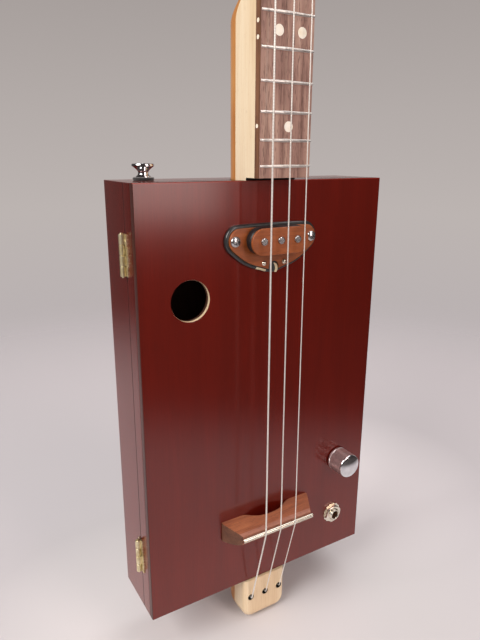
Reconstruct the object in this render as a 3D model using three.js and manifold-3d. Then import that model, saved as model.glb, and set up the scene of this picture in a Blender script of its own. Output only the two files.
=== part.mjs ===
// Three-string electric cigar box guitar, in millimetres, +Z up along the neck.
// The origin is on the nut line, on the neck's centreline, in the plane of the box's face.
// -Y is the playing side, +Y the back, and +X the side of the volume knob.
// Heights are counted from the end of the tail and depths from the plane where the box opens,
// and the whole guitar is then moved to its origin.
import * as THREE from "three";
import { mergeVertices } from "three/addons/utils/BufferGeometryUtils.js";
import Module from "manifold-3d";

const wasm = await Module();
wasm.setup();

// Box
const boxWidth = 190.5;
const boxHeight = 304.8;
const lidDepth = 16;
const trayDepth = 34.8;
const faceThickness = 4.8;
const backThickness = 4.8;
const wallThickness = 6.25;

// Stick that makes neck, heel and tail
const stickWidth = 38.1;
const tailLength = 38.1;
const tailCornerRadius = 8;
const tailBackRounding = 6;
const tailProud = 1.5;
const tailTopGap = 0.8;
const neckProud = 9;
const heelSideDepth = 14.2;
const heelBackDepth = 35.2;
const heelLength = 94;
const heelCurveLength = 23;
const shaftSideDepth = -1;
const shaftBackDepth = 9;
const shaftBackDepthAtNut = 8;
const slitHeight = 1.8;
const slitDepth = 1;
const stickClearance = 0.3;
const notchClearance = 0.8;

// Fretboard, frets and nut
const scaleLength = 647.7;
const saddleSetback = 2.9;
const saddleHeight = 53.8;
const boardThickness = 5.6;
const fretWidth = 2.2;
const fretHeight = 0.9;
const fretRoot = 0.6;
const fretEndInset = 0.25;
const nutLength = 5;
const nutStringHeight = 3.9;
const nutCrest = 0.7;

// Headstock
const headWidth = 54;
const headCurveLength = 24;
const headTopNarrowing = 3;
const headCornerRadius = 9;
const headDrop = 7;
const headThickness = 14;
const headEdgeRounding = 1.5;
const headLength = 132;
const firstTunerDistance = 46;
const tunerPitch = 27;
const tunerSideInset = 10.5;

// Strings
const stringRadii = [0.585, 0.46, 0.36];
const bridgeStringSpacing = 13.2;
const nutStringSpacing = 12.8;
const tailHoleHeight = 21.7;
const stringBendRadius = 2;
const stringSeat = 0.06;
const ballRadius = 1.9;
const ballLength = 3.6;
const ballPocketDepth = 9;
const windingTurns = 2.25;
const windingGap = 0.5;
const windingHeight = 7.5;

// Tail ferrules
const ferruleOuterRadius = 2.6;
const ferruleBoreRadius = 2;
const ferruleLength = 6;
const stringHoleRadius = 1.6;
const ballPocketRadius = 2.4;

// Bridge and its saddle rod
const bridgeLength = 77;
const bridgeTopLength = 61;
const bridgeHeight = 17.2;
const bridgeBaseLow = 45.6;
const bridgeBaseHigh = 60.6;
const bridgeTopLow = 49.4;
const bridgeTopHigh = 56.2;
const bridgeEdge = 1.6;
const archWidth = 46;
const archHeight = 6;
const saddleRodRadius = 1.7;
const saddleRodLength = 62;
const saddleSink = 0.3;

// Pickup
const pickupTopDistance = 37.5;
const pickupEndRadius = 10.6;
const pickupEndOffset = 25.6;
const pickupTipRadius = 20;
const pickupTipDrop = 22.6;
const pickupBaseThickness = 2.9;
const plateInset = 2.2;
const plateThickness = 1.6;
const coilHeight = 6.5;
const coilInset = 0.4;
const topPlateLength = 45.7;
const topPlateWidth = 18.8;
const poleRadius = 2.4;
const polePitch = 13.15;
const poleProud = 1;
const pickupScrewOffset = 30;
const pickupScrewHeadRadius = 3.5;
const pickupScrewHeadHeight = 2.2;
const pickupScrewRadius = 1.5;
const pickupScrewLength = 9;
const notchWidth = 6;
const notchDepth = 8;

// Sound hole, volume control and output jack
const soundHoleRadius = 13.6;
const soundHoleInset = 35.25;
const soundHoleTopDistance = 73.5;
const volumeInset = 26.65;
const volumeHeight = 83.4;
const knobRadius = 9.5;
const knobHeight = 17;
const knobLift = 0.8;
const knobDome = 1.6;
const knobRecessRadius = 7.8;
const knobRecessDepth = 3;
const knobCrown = 3.5;
const potRadius = 12;
const potDepth = 10;
const potWall = 2.2;
const panelBushingRadius = 4.6;
const panelBushingProud = 2.4;
const shaftRadius = 3;
const jackInset = 28.95;
const jackHeight = 33;
const jackProud = 5.4;
const jackBoreRadius = 3.2;
const jackBarrelRadius = 8;
const jackBarrelLength = 19;
const washerRadius = 8.7;
const washerThickness = 1;
const nutAcrossFlats = 12.7;
const jackNutThickness = 2.6;
const potNutThickness = 1.8;
const panelHoleClearance = 0.3;
const runningGap = 0.12;
const seatGap = 0.3;

// Hinges
const hingeLength = 28;
const lowerHingeDistance = 45.2;
const upperHingeDistance = 43.4;
const leafWidth = 8;
const leafThickness = 0.8;
const leafStep = 1.8;
const knuckleRadius = 2.3;
const knuckleBore = 1.15;
const knuckleCount = 4;
const knuckleGap = 0.3;
const hingePinRadius = 1.05;
const hingeSeat = 0.1;

// Strap button
const strapInset = 19.25;
const strapDepth = 15;
const feltRadius = 6.7;
const feltThickness = 2;
const strapHeight = 8.3;
const strapBaseRadius = 4.8;
const strapWaistRadius = 3.45;
const strapHeadRadius = 7.2;
const strapStemRadius = 1.9;
const strapStemLength = 5.5;

// Tuning machines
const housingWidth = 16.5;
const housingLength = 19;
const housingDepth = 11;
const housingRounding = 3;
const housingAbovePost = 8;
const wormOffset = 6.6;
const postRadius = 3;
const postHeight = 11;
const postDome = 1.2;
const postCapRadius = 3.5;
const postSocketDepth = 8;
const bushingFlangeRadius = 5.6;
const bushingFlangeThickness = 1.5;
const bushingTubeRadius = 5;
const bushingTubeGap = 1;
const keyShaftRadius = 2;
const keySocketDepth = 8;
const keyReach = 6.5;
const keyLength = 13;
const keySpan = 18;
const keyThickness = 8;

// Inner leads
const leadRadius = 1.2;
const leadHoleInset = 0.6;
const leadHoleDrop = 5.3;
const leadHoleClearance = 0.6;

// Facets and overruns
const overrun = 1;
const fineSides = 24;
const roundSides = 16;
const smallSides = 12;
const gripRings = 8;
const stringSides = 6;
const loopSteps = 24;
const bendSteps = 4;
const leadSteps = 26;

// Places worked out from the sizes above
const halfBox = boxWidth / 2;
const halfStick = stickWidth / 2;
const halfHead = headWidth / 2;
const boxBottom = tailLength;
const boxTop = boxBottom + boxHeight;
const faceY = -lidDepth;
const liningY = faceY + faceThickness;
const backY = trayDepth;
const trayFloorY = backY - backThickness;
const neckY = faceY - neckProud;
const boardY = neckY - boardThickness;
const tailY = faceY - tailProud;
const stickSideY = faceY + heelSideDepth;
const stickBackY = faceY + heelBackDepth;
const saddleZ = boxBottom + saddleHeight;
const nutZ = saddleZ + scaleLength + saddleSetback;
const nutEndZ = nutZ + nutLength;
const headTopZ = nutEndZ + headLength;
const headY = neckY + headDrop;
const headBackY = headY + headThickness;
const saddleRodY = faceY - bridgeHeight + saddleSink - saddleRodRadius;
const nutStringY = boardY - nutStringHeight;
const pickupZ = boxTop - pickupTopDistance;
const baseY = faceY - pickupBaseThickness;
const plateY = baseY - plateThickness;
const coilY = plateY - coilHeight;
const topPlateY = coilY - plateThickness;
const hingeX = -halfBox - hingeSeat - knuckleRadius;
const hinges = [
  { name: "lower", z: boxBottom + lowerHingeDistance },
  { name: "upper", z: boxTop - upperHingeDistance },
];
const soundHoleX = -halfBox + soundHoleInset;
const soundHoleZ = boxTop - soundHoleTopDistance;
const strapX = -halfBox + strapInset;
const strapZ = boxTop + feltThickness;
const volumeX = halfBox - volumeInset;
const volumeZ = boxBottom + volumeHeight;
const jackX = halfBox - jackInset;
const jackZ = boxBottom + jackHeight;
const leadHoleX = pickupEndOffset - leadHoleInset;
const leadHoleZ = pickupZ - leadHoleDrop;

const material = (color, roughness, metalness = 0) =>
  new THREE.MeshStandardMaterial({ color, roughness, metalness });
const lacquer = material(0x5a1a14, 0.3);
const maple = material(0xf0d9b5, 0.45);
const rosewood = material(0x6e4a3c, 0.6);
const bridgeWood = material(0x8d5138, 0.55);
const bone = material(0xf2ead6, 0.4);
const steel = material(0xd8d8d6, 0.25, 1);
const chrome = material(0xe4e4e6, 0.12, 1);
const nickel = material(0xcfc9bd, 0.25, 1);
const brass = material(0xc2ae6a, 0.35, 1);
const blackened = material(0x2a2522, 0.45, 0.6);
const veneer = material(0xa5532e, 0.5);
const blackFibre = material(0x1c1b1c, 0.6);
const felt = material(0x4a4a4c, 0.95);

const guitar = new THREE.Group();

// Solids for joining and cutting
function solid(geometry) {
  const bare = geometry.clone();
  bare.deleteAttribute("normal");
  bare.deleteAttribute("uv");
  const merged = mergeVertices(bare);
  const corners = [];
  for (let i = 0; i < merged.index.count; i += 3) {
    const [a, b, c] = [0, 1, 2].map((k) => merged.index.getX(i + k));
    if (a !== b && b !== c && c !== a) corners.push(a, b, c);
  }
  const vertProperties = merged.attributes.position.array;
  const build = (triVerts) => new wasm.Manifold(new wasm.Mesh({ numProp: 3, vertProperties, triVerts }));
  const made = build(Uint32Array.from(corners));
  return made.volume() > 0 ? made : build(Uint32Array.from(corners).reverse());
}

function geometryOf(made) {
  const { vertProperties, triVerts, numProp } = made.getMesh();
  const geometry = new THREE.BufferGeometry();
  const kept = Float32Array.from(vertProperties.filter((value, i) => i % numProp < 3));
  geometry.setAttribute("position", new THREE.BufferAttribute(kept, 3));
  geometry.setIndex(new THREE.BufferAttribute(triVerts, 1));
  geometry.computeVertexNormals();
  return geometry;
}

function add(name, made, finish) {
  const mesh = new THREE.Mesh(geometryOf(made), finish);
  mesh.name = name;
  guitar.add(mesh);
}

const cut = (made, ...tools) => tools.reduce((rest, tool) => rest.subtract(tool), made);
const join = (made, ...others) => others.reduce((all, other) => all.add(other), made);

function block(x0, x1, y0, y1, z0, z1) {
  const geometry = new THREE.BoxGeometry(x1 - x0, y1 - y0, z1 - z0);
  return solid(geometry.translate((x0 + x1) / 2, (y0 + y1) / 2, (z0 + z1) / 2));
}

// An outline drawn in X and Z, made solid between two depths
function slab(outline, yFront, yBack, segments = roundSides) {
  const options = { depth: yBack - yFront, bevelEnabled: false, curveSegments: segments };
  const geometry = new THREE.ExtrudeGeometry(outline, options);
  return solid(geometry.rotateX(Math.PI / 2).translate(0, yBack, 0));
}

// An outline drawn in X and Y, made solid between two heights
function column(outline, z0, z1, segments = roundSides) {
  const options = { depth: z1 - z0, bevelEnabled: false, curveSegments: segments };
  return solid(new THREE.ExtrudeGeometry(outline, options).translate(0, 0, z0));
}

// An outline drawn in Y and Z, made solid between two places across
function bar(outline, x0, x1, segments = smallSides) {
  const options = { depth: x1 - x0, bevelEnabled: false, curveSegments: segments };
  const across = new THREE.Matrix4().makeBasis(
    new THREE.Vector3(0, 1, 0),
    new THREE.Vector3(0, 0, 1),
    new THREE.Vector3(1, 0, 0),
  );
  return solid(new THREE.ExtrudeGeometry(outline, options).applyMatrix4(across).translate(x0, 0, 0));
}

// A profile of [radius, place along Y] turned round a line through x and z
function turned(profile, x, z, sides = roundSides) {
  const points = profile.map(([radius, y]) => new THREE.Vector2(radius, y));
  return solid(new THREE.LatheGeometry(points, sides).translate(x, 0, z));
}

const rod = (radius, x, z, y0, y1, sides = smallSides) =>
  turned([[0, y0], [radius, y0], [radius, y1], [0, y1]], x, z, sides);

const outline = (points) => new THREE.Shape(points.map(([u, v]) => new THREE.Vector2(u, v)));

function hexagon(x, z, acrossFlats) {
  const reach = acrossFlats / Math.sqrt(3);
  const corner = (k) => [x + reach * Math.cos((k * Math.PI) / 3), z + reach * Math.sin((k * Math.PI) / 3)];
  return outline([0, 1, 2, 3, 4, 5].map(corner));
}

// A tube through a list of points, closed at both ends
function tube(points, radius, sides) {
  const along = points.map((point, i) => {
    const next = points[Math.min(i + 1, points.length - 1)];
    return next.clone().sub(points[Math.max(i - 1, 0)]).normalize();
  });
  let side = new THREE.Vector3(1, 0, 0).cross(along[0]).normalize();
  const corners = [];
  points.forEach((point, i) => {
    side = side.sub(along[i].clone().multiplyScalar(side.dot(along[i]))).normalize();
    const up = along[i].clone().cross(side);
    for (let k = 0; k < sides; k += 1) {
      const turn = (2 * Math.PI * k) / sides;
      const reach = side.clone().multiplyScalar(radius * Math.cos(turn));
      corners.push(point.clone().add(reach.add(up.clone().multiplyScalar(radius * Math.sin(turn)))));
    }
  });
  return solid(stackedRings(corners, sides));
}

// A closed skin over rings of points, each ring with the same number
function stackedRings(corners, perRing) {
  const rings = corners.length / perRing;
  const index = [];
  for (let r = 0; r < rings - 1; r += 1) {
    for (let k = 0; k < perRing; k += 1) {
      const a = r * perRing + k;
      const b = r * perRing + ((k + 1) % perRing);
      index.push(a, b, b + perRing, a, b + perRing, a + perRing);
    }
  }
  const last = (rings - 1) * perRing;
  for (let k = 1; k < perRing - 1; k += 1) index.push(0, k + 1, k, last, last + k, last + k + 1);
  const geometry = new THREE.BufferGeometry().setFromPoints(corners);
  geometry.setIndex(index);
  return geometry;
}

// Section of the stick: flat front, flat sides, and a back that bulges between them,
// an ellipse where the power is two and squarer above that
const roundBack = 2;
const squareBack = 7;

function stickRing(z, half, front, side, back, power) {
  const ring = [new THREE.Vector3(-half, front, z), new THREE.Vector3(half, front, z)];
  for (let k = 0; k <= smallSides; k += 1) {
    const turn = (Math.PI * k) / smallSides;
    const across = Math.sign(Math.cos(turn)) * Math.abs(Math.cos(turn)) ** (2 / power);
    const deep = Math.max(Math.sin(turn), 0) ** (2 / power);
    ring.push(new THREE.Vector3(half * across, side + (back - side) * deep, z));
  }
  return ring;
}

// Neck, heel and tail from one stick
function makeNeck() {
  const rings = [];
  const station = (...values) => rings.push(...stickRing(...values));
  const blend = (from, to, share) => from + (to - from) * share;
  const ease = (share) => (1 - Math.cos(Math.PI * share)) / 2;
  const cornerSteps = 5;
  for (let k = 0; k <= cornerSteps; k += 1) {
    const turn = (Math.PI / 2) * (k / cornerSteps);
    const half = halfStick - tailCornerRadius * (1 - Math.sin(turn));
    const back = stickBackY - tailBackRounding * (1 - Math.sin(turn));
    station(tailCornerRadius * (1 - Math.cos(turn)), half, neckY, stickSideY, back, roundBack);
  }
  const heelTopZ = boxTop + heelLength;
  const curveSteps = 8;
  const shaftSideY = faceY + shaftSideDepth;
  for (let k = 0; k <= curveSteps; k += 1) {
    const share = ease(k / curveSteps);
    const side = blend(stickSideY, shaftSideY, share);
    const back = blend(stickBackY, faceY + shaftBackDepth, share);
    station(heelTopZ + heelCurveLength * (k / curveSteps), halfStick, neckY, side, back, roundBack);
  }
  const headSteps = 6;
  const headSideY = headBackY - headEdgeRounding;
  for (let k = 0; k <= headSteps; k += 1) {
    const share = ease(k / headSteps);
    const front = blend(neckY, headY, share);
    const side = blend(shaftSideY, headSideY, share);
    const back = blend(faceY + shaftBackDepthAtNut, headBackY, share);
    const power = blend(roundBack, squareBack, share);
    const half = blend(halfStick, halfHead, share);
    station(nutEndZ + headCurveLength * (k / headSteps), half, front, side, back, power);
  }
  for (let k = cornerSteps; k >= 0; k -= 1) {
    const turn = (Math.PI / 2) * (k / cornerSteps);
    const half = halfHead - headTopNarrowing - headCornerRadius * (1 - Math.sin(turn));
    station(headTopZ - headCornerRadius * (1 - Math.cos(turn)), half, headY, headSideY, headBackY, squareBack);
  }
  const perRing = smallSides + 3;
  const stick = solid(stackedRings(rings, perRing));
  const wide = halfStick + overrun;
  const tools = [
    block(-wide, wide, neckY - overrun, tailY, -overrun, boxBottom - tailTopGap),
    block(-wide, wide, neckY - overrun, liningY, boxBottom - tailTopGap, boxTop),
    block(-wide, wide, neckY - overrun, faceY + slitDepth, boxTop, boxTop + slitHeight),
  ];
  for (const x of stringPlaces(bridgeStringSpacing)) {
    tools.push(rod(stringHoleRadius, x, tailHoleHeight, tailY - overrun, stickBackY + overrun));
    tools.push(rod(ferruleOuterRadius + runningGap, x, tailHoleHeight, tailY - overrun, tailY + ferruleLength));
    tools.push(rod(ballPocketRadius, x, tailHoleHeight, ballY(x), stickBackY + overrun));
  }
  for (const { x, z } of tuners) {
    tools.push(rod(bushingTubeRadius + runningGap, x, z, headY - overrun, headBackY + overrun, roundSides));
  }
  add("neck", cut(stick, ...tools), maple);
}

// Strings run at even spacing about the centreline
function stringPlaces(spacing) {
  return [-spacing, 0, spacing];
}

// Depth of the stick's round back at a place across it, less the pocket for a string's ball end
function ballY(x) {
  const share = Math.sqrt(1 - (x / halfStick) ** 2);
  return stickSideY + (stickBackY - stickSideY) * share - ballPocketDepth;
}

const tuners = [
  { name: "bass", x: -halfHead + tunerSideInset, z: nutZ + firstTunerDistance, out: -1 },
  { name: "treble", x: halfHead - tunerSideInset, z: nutZ + firstTunerDistance + tunerPitch, out: 1 },
  { name: "middle", x: -halfHead + tunerSideInset, z: nutZ + firstTunerDistance + 2 * tunerPitch, out: -1 },
];
const stringNames = ["bass", "middle", "treble"];

// Box: soundboard with its rim strips, and the tray that swings open behind them
function makeBox() {
  const board = block(-halfBox, halfBox, faceY, liningY, boxBottom, boxTop);
  const through = [faceY - overrun, liningY + overrun];
  add(
    "soundboard",
    cut(
      board,
      rod(soundHoleRadius, soundHoleX, soundHoleZ, ...through, fineSides),
      rod(panelBushingRadius + panelHoleClearance, volumeX, volumeZ, ...through, roundSides),
      rod(panelBushingRadius + panelHoleClearance, jackX, jackZ, ...through, roundSides),
      rod(leadRadius + leadHoleClearance, leadHoleX, leadHoleZ, ...through),
      rod(pickupScrewRadius + runningGap, -pickupScrewOffset, pickupZ, ...through),
      rod(pickupScrewRadius + runningGap, pickupScrewOffset, pickupZ, ...through),
    ),
    lacquer,
  );
  const inner = halfBox - wallThickness;
  const stripEnd = halfStick + stickClearance;
  add("lid_side_left", block(-halfBox, -inner, liningY, 0, boxBottom, boxTop), lacquer);
  add("lid_side_right", block(inner, halfBox, liningY, 0, boxBottom, boxTop), lacquer);
  const ends = [
    ["bottom", boxBottom, boxBottom + wallThickness],
    ["top", boxTop - wallThickness, boxTop],
  ];
  const bored = rod(strapStemRadius + runningGap, 0, 0, 0, strapStemLength + runningGap);
  const strapBore = bored.rotate([-90, 0, 0]).translate([strapX, strapDepth, boxTop]);
  for (const [end, z0, z1] of ends) {
    add(`lid_end_${end}_left`, block(-inner, -stripEnd, liningY, 0, z0, z1), lacquer);
    add(`lid_end_${end}_right`, block(stripEnd, inner, liningY, 0, z0, z1), lacquer);
    const notch = stickRing(
      z0 - overrun,
      halfStick + notchClearance,
      -overrun,
      stickSideY,
      stickBackY + notchClearance,
      roundBack,
    );
    const notchTop = notch.map((point) => point.clone().setZ(z1 + overrun));
    const opening = solid(stackedRings([...notch, ...notchTop], notch.length));
    const wall = cut(block(-inner, inner, 0, trayFloorY, z0, z1), opening);
    add(`tray_end_${end}`, end === "top" ? cut(wall, strapBore) : wall, lacquer);
  }
  add("tray_side_left", block(-halfBox, -inner, 0, trayFloorY, boxBottom, boxTop), lacquer);
  add("tray_side_right", block(inner, halfBox, 0, trayFloorY, boxBottom, boxTop), lacquer);
  add("tray_back", block(-halfBox, halfBox, trayFloorY, backY, boxBottom, boxTop), lacquer);
}

// Hinges on the left side, each two leaves with interlocking knuckles on a pin
function makeHinges() {
  const pitch = hingeLength / knuckleCount;
  for (const { name, z } of hinges) {
    const low = z - hingeLength / 2;
    for (const [leaf, sign] of [["lid", -1], ["tray", 1]]) {
      const reach = (depth) => (sign < 0 ? [-depth, -knuckleRadius - knuckleGap] : [knuckleRadius + knuckleGap, depth]);
      const plates = [block(-halfBox - leafThickness, -halfBox, ...reach(leafWidth - leafStep), low, low + hingeLength)];
      const stepTop = low + hingeLength / 2;
      plates.push(block(-halfBox - leafThickness, -halfBox, ...reach(leafWidth), low + knuckleGap, stepTop));
      for (let k = 0; k < knuckleCount; k += 1) {
        if ((k % 2 === 0) === (leaf === "tray")) {
          const z0 = low + k * pitch + knuckleGap / 2;
          const z1 = low + (k + 1) * pitch - knuckleGap / 2;
          const barrel = new THREE.CylinderGeometry(knuckleRadius, knuckleRadius, z1 - z0, smallSides);
          barrel.rotateX(Math.PI / 2).translate(hingeX, 0, (z0 + z1) / 2);
          const strap = sign < 0 ? [-knuckleRadius - 2 * knuckleGap, 0] : [0, knuckleRadius + 2 * knuckleGap];
          plates.push(solid(barrel));
          plates.push(block(-halfBox - leafThickness, -halfBox, ...strap, z0, z1));
        }
      }
      const bore = new THREE.CylinderGeometry(knuckleBore, knuckleBore, hingeLength + 2 * overrun, smallSides);
      bore.rotateX(Math.PI / 2).translate(hingeX, 0, low + hingeLength / 2);
      add(`hinge_${name}_${leaf}_leaf`, cut(join(...plates), solid(bore)), brass);
    }
    const pin = new THREE.CylinderGeometry(hingePinRadius, hingePinRadius, hingeLength, smallSides);
    pin.rotateX(Math.PI / 2).translate(hingeX, 0, low + hingeLength / 2);
    add(`hinge_${name}_pin`, solid(pin), brass);
  }
}

// Fretboard with its frets pressed in, and the nut behind them
function makeFretboard() {
  const low = boxTop + slitHeight;
  const parts = [block(-halfStick, halfStick, boardY, neckY, low, nutZ)];
  const fretPlace = (n) => nutZ - scaleLength * (1 - 2 ** (-n / 12));
  for (let n = 1; fretPlace(n) - fretWidth / 2 > low; n += 1) {
    const z = fretPlace(n);
    const crown = outline([
      [boardY + fretRoot, z - fretWidth / 2],
      [boardY + fretRoot, z + fretWidth / 2],
      [boardY, z + fretWidth / 2],
      [boardY - fretHeight * 0.75, z + fretWidth / 4],
      [boardY - fretHeight, z],
      [boardY - fretHeight * 0.75, z - fretWidth / 4],
      [boardY, z - fretWidth / 2],
    ]);
    parts.push(bar(crown, -halfStick + fretEndInset, halfStick - fretEndInset));
  }
  add("fretboard", join(...parts), rosewood);
  const nut = block(-halfStick, halfStick, nutStringY - nutCrest, neckY, nutZ, nutEndZ);
  const slots = stringPlaces(nutStringSpacing).map((x, i) => {
    const half = stringRadii[i] + runningGap;
    const floor = nutStringY + stringRadii[i] + runningGap;
    return block(x - half, x + half, nutStringY - 2 * nutCrest, floor, nutZ - overrun, nutEndZ + overrun);
  });
  add("nut", cut(nut, ...slots), bone);
}

// Points along straight runs with each corner rounded to the same radius
function roundedRoute(corners, radius) {
  const route = [corners[0]];
  for (let i = 1; i < corners.length - 1; i += 1) {
    const back = corners[i - 1].clone().sub(corners[i]).normalize();
    const ahead = corners[i + 1].clone().sub(corners[i]).normalize();
    const reach = radius / Math.tan(back.angleTo(ahead) / 2);
    const start = corners[i].clone().add(back.multiplyScalar(reach));
    const end = corners[i].clone().add(ahead.multiplyScalar(reach));
    const curve = new THREE.QuadraticBezierCurve3(start, corners[i], end);
    route.push(...curve.getPoints(bendSteps));
  }
  route.push(corners[corners.length - 1]);
  return route;
}

// Strings: ball end in the tail, over the saddle rod and the nut, wound on the tuner's post
function makeStrings() {
  const bridgeX = stringPlaces(bridgeStringSpacing);
  const nutX = stringPlaces(nutStringSpacing);
  stringNames.forEach((name, i) => {
    const radius = stringRadii[i];
    const tuner = tuners.find((each) => each.name === name);
    const coilRadius = postRadius + seatGap + radius;
    const pitch = 2 * radius + windingGap;
    const restY = saddleRodY - saddleRodRadius - radius - stringSeat;
    const over = new THREE.Vector3(nutX[i], nutStringY, nutEndZ + runningGap);
    const inward = -tuner.out;
    const across = inward * (over.x - tuner.x);
    const below = over.z - tuner.z;
    const first = Math.atan2(below, across) + Math.acos(coilRadius / Math.hypot(across, below));
    const winding = [];
    const steps = Math.round(windingTurns * loopSteps);
    for (let k = 0; k <= steps; k += 1) {
      const turn = first + (2 * Math.PI * k) / loopSteps;
      const x = tuner.x + inward * coilRadius * Math.cos(turn);
      const y = headY - windingHeight + (pitch * k) / loopSteps;
      winding.push(new THREE.Vector3(x, y, tuner.z + coilRadius * Math.sin(turn)));
    }
    const leave = winding[steps].clone().sub(winding[steps - 1]).normalize();
    winding.push(winding[steps].clone().add(leave.multiplyScalar(2 * radius)));
    const corners = [
      new THREE.Vector3(bridgeX[i], ballY(bridgeX[i]) + ballLength / 2, tailHoleHeight),
      new THREE.Vector3(bridgeX[i], tailY - 2 * radius, tailHoleHeight),
      new THREE.Vector3(bridgeX[i], restY, saddleZ),
      over,
      winding[0],
    ];
    const route = [...roundedRoute(corners, stringBendRadius), ...winding.slice(1)];
    const ball = rod(ballRadius, bridgeX[i], tailHoleHeight, ballY(bridgeX[i]) + seatGap, ballY(bridgeX[i]) + ballLength);
    add(`string_${name}`, join(tube(route, radius, stringSides), ball), steel);
    console.log(`string_${name} winding: least gap to itself ${leastGap(winding, radius).toFixed(2)} mm`);
  });
}

// Least clear distance between turns of a winding, on its points
function leastGap(points, radius) {
  let least = Infinity;
  points.forEach((point, i) => {
    for (let k = i + loopSteps / 2; k < points.length; k += 1) {
      least = Math.min(least, point.distanceTo(points[k]) - 2 * radius);
    }
  });
  return least;
}

// Bridge: two feet with an arch between them, sloping ends, and a rod as saddle
function makeBridge() {
  const topY = faceY - bridgeHeight;
  const section = outline([
    [faceY, boxBottom + bridgeBaseLow],
    [faceY, boxBottom + bridgeBaseHigh],
    [faceY - bridgeEdge, boxBottom + bridgeBaseHigh],
    [topY + bridgeEdge, boxBottom + bridgeTopHigh + bridgeEdge / 2],
    [topY, boxBottom + bridgeTopHigh],
    [topY, boxBottom + bridgeTopLow],
    [topY + bridgeEdge, boxBottom + bridgeTopLow - bridgeEdge],
  ]);
  const low = boxBottom + bridgeBaseLow - overrun;
  const high = boxBottom + bridgeBaseHigh + overrun;
  const slope = (side) =>
    column(
      outline([
        [(side * bridgeLength) / 2, faceY + overrun],
        [(side * bridgeLength) / 2, faceY - bridgeEdge],
        [(side * bridgeTopLength) / 2, topY],
        [(side * bridgeTopLength) / 2, topY - overrun],
        [(side * bridgeLength) / 2 + side * overrun, topY - overrun],
        [(side * bridgeLength) / 2 + side * overrun, faceY + overrun],
      ]),
      low,
      high,
    );
  const arch = new THREE.Shape();
  arch.moveTo(-archWidth / 2, faceY + overrun);
  arch.lineTo(-archWidth / 2, faceY);
  arch.bezierCurveTo(-archWidth / 3, faceY, -archWidth / 3, faceY - archHeight, 0, faceY - archHeight);
  arch.bezierCurveTo(archWidth / 3, faceY - archHeight, archWidth / 3, faceY, archWidth / 2, faceY);
  arch.lineTo(archWidth / 2, faceY + overrun);
  const along = new THREE.CylinderGeometry(
    saddleRodRadius + stringSeat,
    saddleRodRadius + stringSeat,
    bridgeLength,
    roundSides,
  );
  const groove = solid(along.rotateZ(Math.PI / 2).translate(0, saddleRodY, saddleZ));
  const raw = bar(section, -bridgeLength / 2, bridgeLength / 2);
  add("bridge", cut(raw, slope(-1), slope(1), column(arch, low, high, smallSides), groove), bridgeWood);
  const saddle = new THREE.CylinderGeometry(saddleRodRadius, saddleRodRadius, saddleRodLength, roundSides);
  add("saddle_rod", solid(saddle.rotateZ(Math.PI / 2).translate(0, saddleRodY, saddleZ)), nickel);
}

// Outline round two end circles and a lower middle one, drawn in by an inset
function pickupOutline(inset) {
  const endRadius = pickupEndRadius - inset;
  const tipRadius = pickupTipRadius - inset;
  const tipZ = pickupTipRadius - pickupTipDrop;
  const between = Math.hypot(pickupEndOffset, tipZ);
  const lean = Math.atan2(tipZ, pickupEndOffset) - Math.acos((endRadius - tipRadius) / between);
  const shape = new THREE.Shape();
  shape.absarc(-pickupEndOffset, pickupZ, endRadius, Math.PI / 2, lean + 2 * Math.PI);
  shape.absarc(0, pickupZ + tipZ, tipRadius, lean + 2 * Math.PI, 3 * Math.PI - lean);
  shape.absarc(pickupEndOffset, pickupZ, endRadius, -Math.PI - lean, Math.PI / 2);
  return shape;
}

function racetrack(length, width, centreZ) {
  const radius = width / 2;
  const shape = new THREE.Shape();
  shape.absarc(-length / 2 + radius, centreZ, radius, Math.PI / 2, (3 * Math.PI) / 2);
  shape.absarc(length / 2 - radius, centreZ, radius, -Math.PI / 2, Math.PI / 2);
  return shape;
}

// Pickup: base, two plates with the coil between them, poles and mounting screws
function makePickup() {
  const poles = stringPlaces(polePitch);
  const screws = [-pickupScrewOffset, pickupScrewOffset];
  const poleHoles = poles.map((x) => rod(poleRadius + runningGap, x, pickupZ, topPlateY - overrun, liningY));
  const screwHoles = screws.map((x) => rod(pickupScrewRadius + runningGap, x, pickupZ, coilY, liningY));
  const tipZ = pickupZ - pickupTipDrop;
  const notch = new THREE.Shape();
  notch.moveTo(-notchWidth / 2, tipZ - overrun);
  notch.lineTo(notchWidth / 2, tipZ - overrun);
  notch.absarc(0, tipZ + notchDepth - notchWidth / 2, notchWidth / 2, 0, Math.PI);
  const leadHole = rod(leadRadius + leadHoleClearance, leadHoleX, leadHoleZ, baseY - overrun, liningY);
  const bottomPlate = slab(pickupOutline(plateInset), plateY, baseY, smallSides);
  add("pickup_base", cut(slab(pickupOutline(0), baseY, faceY, smallSides), ...screwHoles, leadHole), blackFibre);
  add(
    "pickup_bottom_plate",
    cut(bottomPlate, ...poleHoles, ...screwHoles, slab(notch, plateY - overrun, faceY, smallSides)),
    veneer,
  );
  const coilShape = racetrack(topPlateLength - 2 * coilInset, topPlateWidth - 2 * coilInset, pickupZ);
  add("pickup_coil", cut(slab(coilShape, coilY, plateY, smallSides), ...poleHoles), blackFibre);
  const topShape = racetrack(topPlateLength, topPlateWidth, pickupZ);
  add("pickup_top_plate", cut(slab(topShape, topPlateY, coilY, smallSides), ...poleHoles), veneer);
  poles.forEach((x, i) => {
    add(`pole_${stringNames[i]}`, rod(poleRadius, x, pickupZ, topPlateY - poleProud, baseY, roundSides), steel);
  });
  screws.forEach((x, i) => {
    const crown = plateY - pickupScrewHeadHeight;
    const profile = [
      [0, crown],
      [pickupScrewHeadRadius * 0.6, crown],
      [pickupScrewHeadRadius, crown + pickupScrewHeadHeight * 0.6],
      [pickupScrewHeadRadius, plateY],
      [pickupScrewRadius, plateY],
      [pickupScrewRadius, plateY + pickupScrewLength],
      [0, plateY + pickupScrewLength],
    ];
    add(`pickup_screw_${["left", "right"][i]}`, turned(profile, x, pickupZ, roundSides), steel);
  });
}

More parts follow.
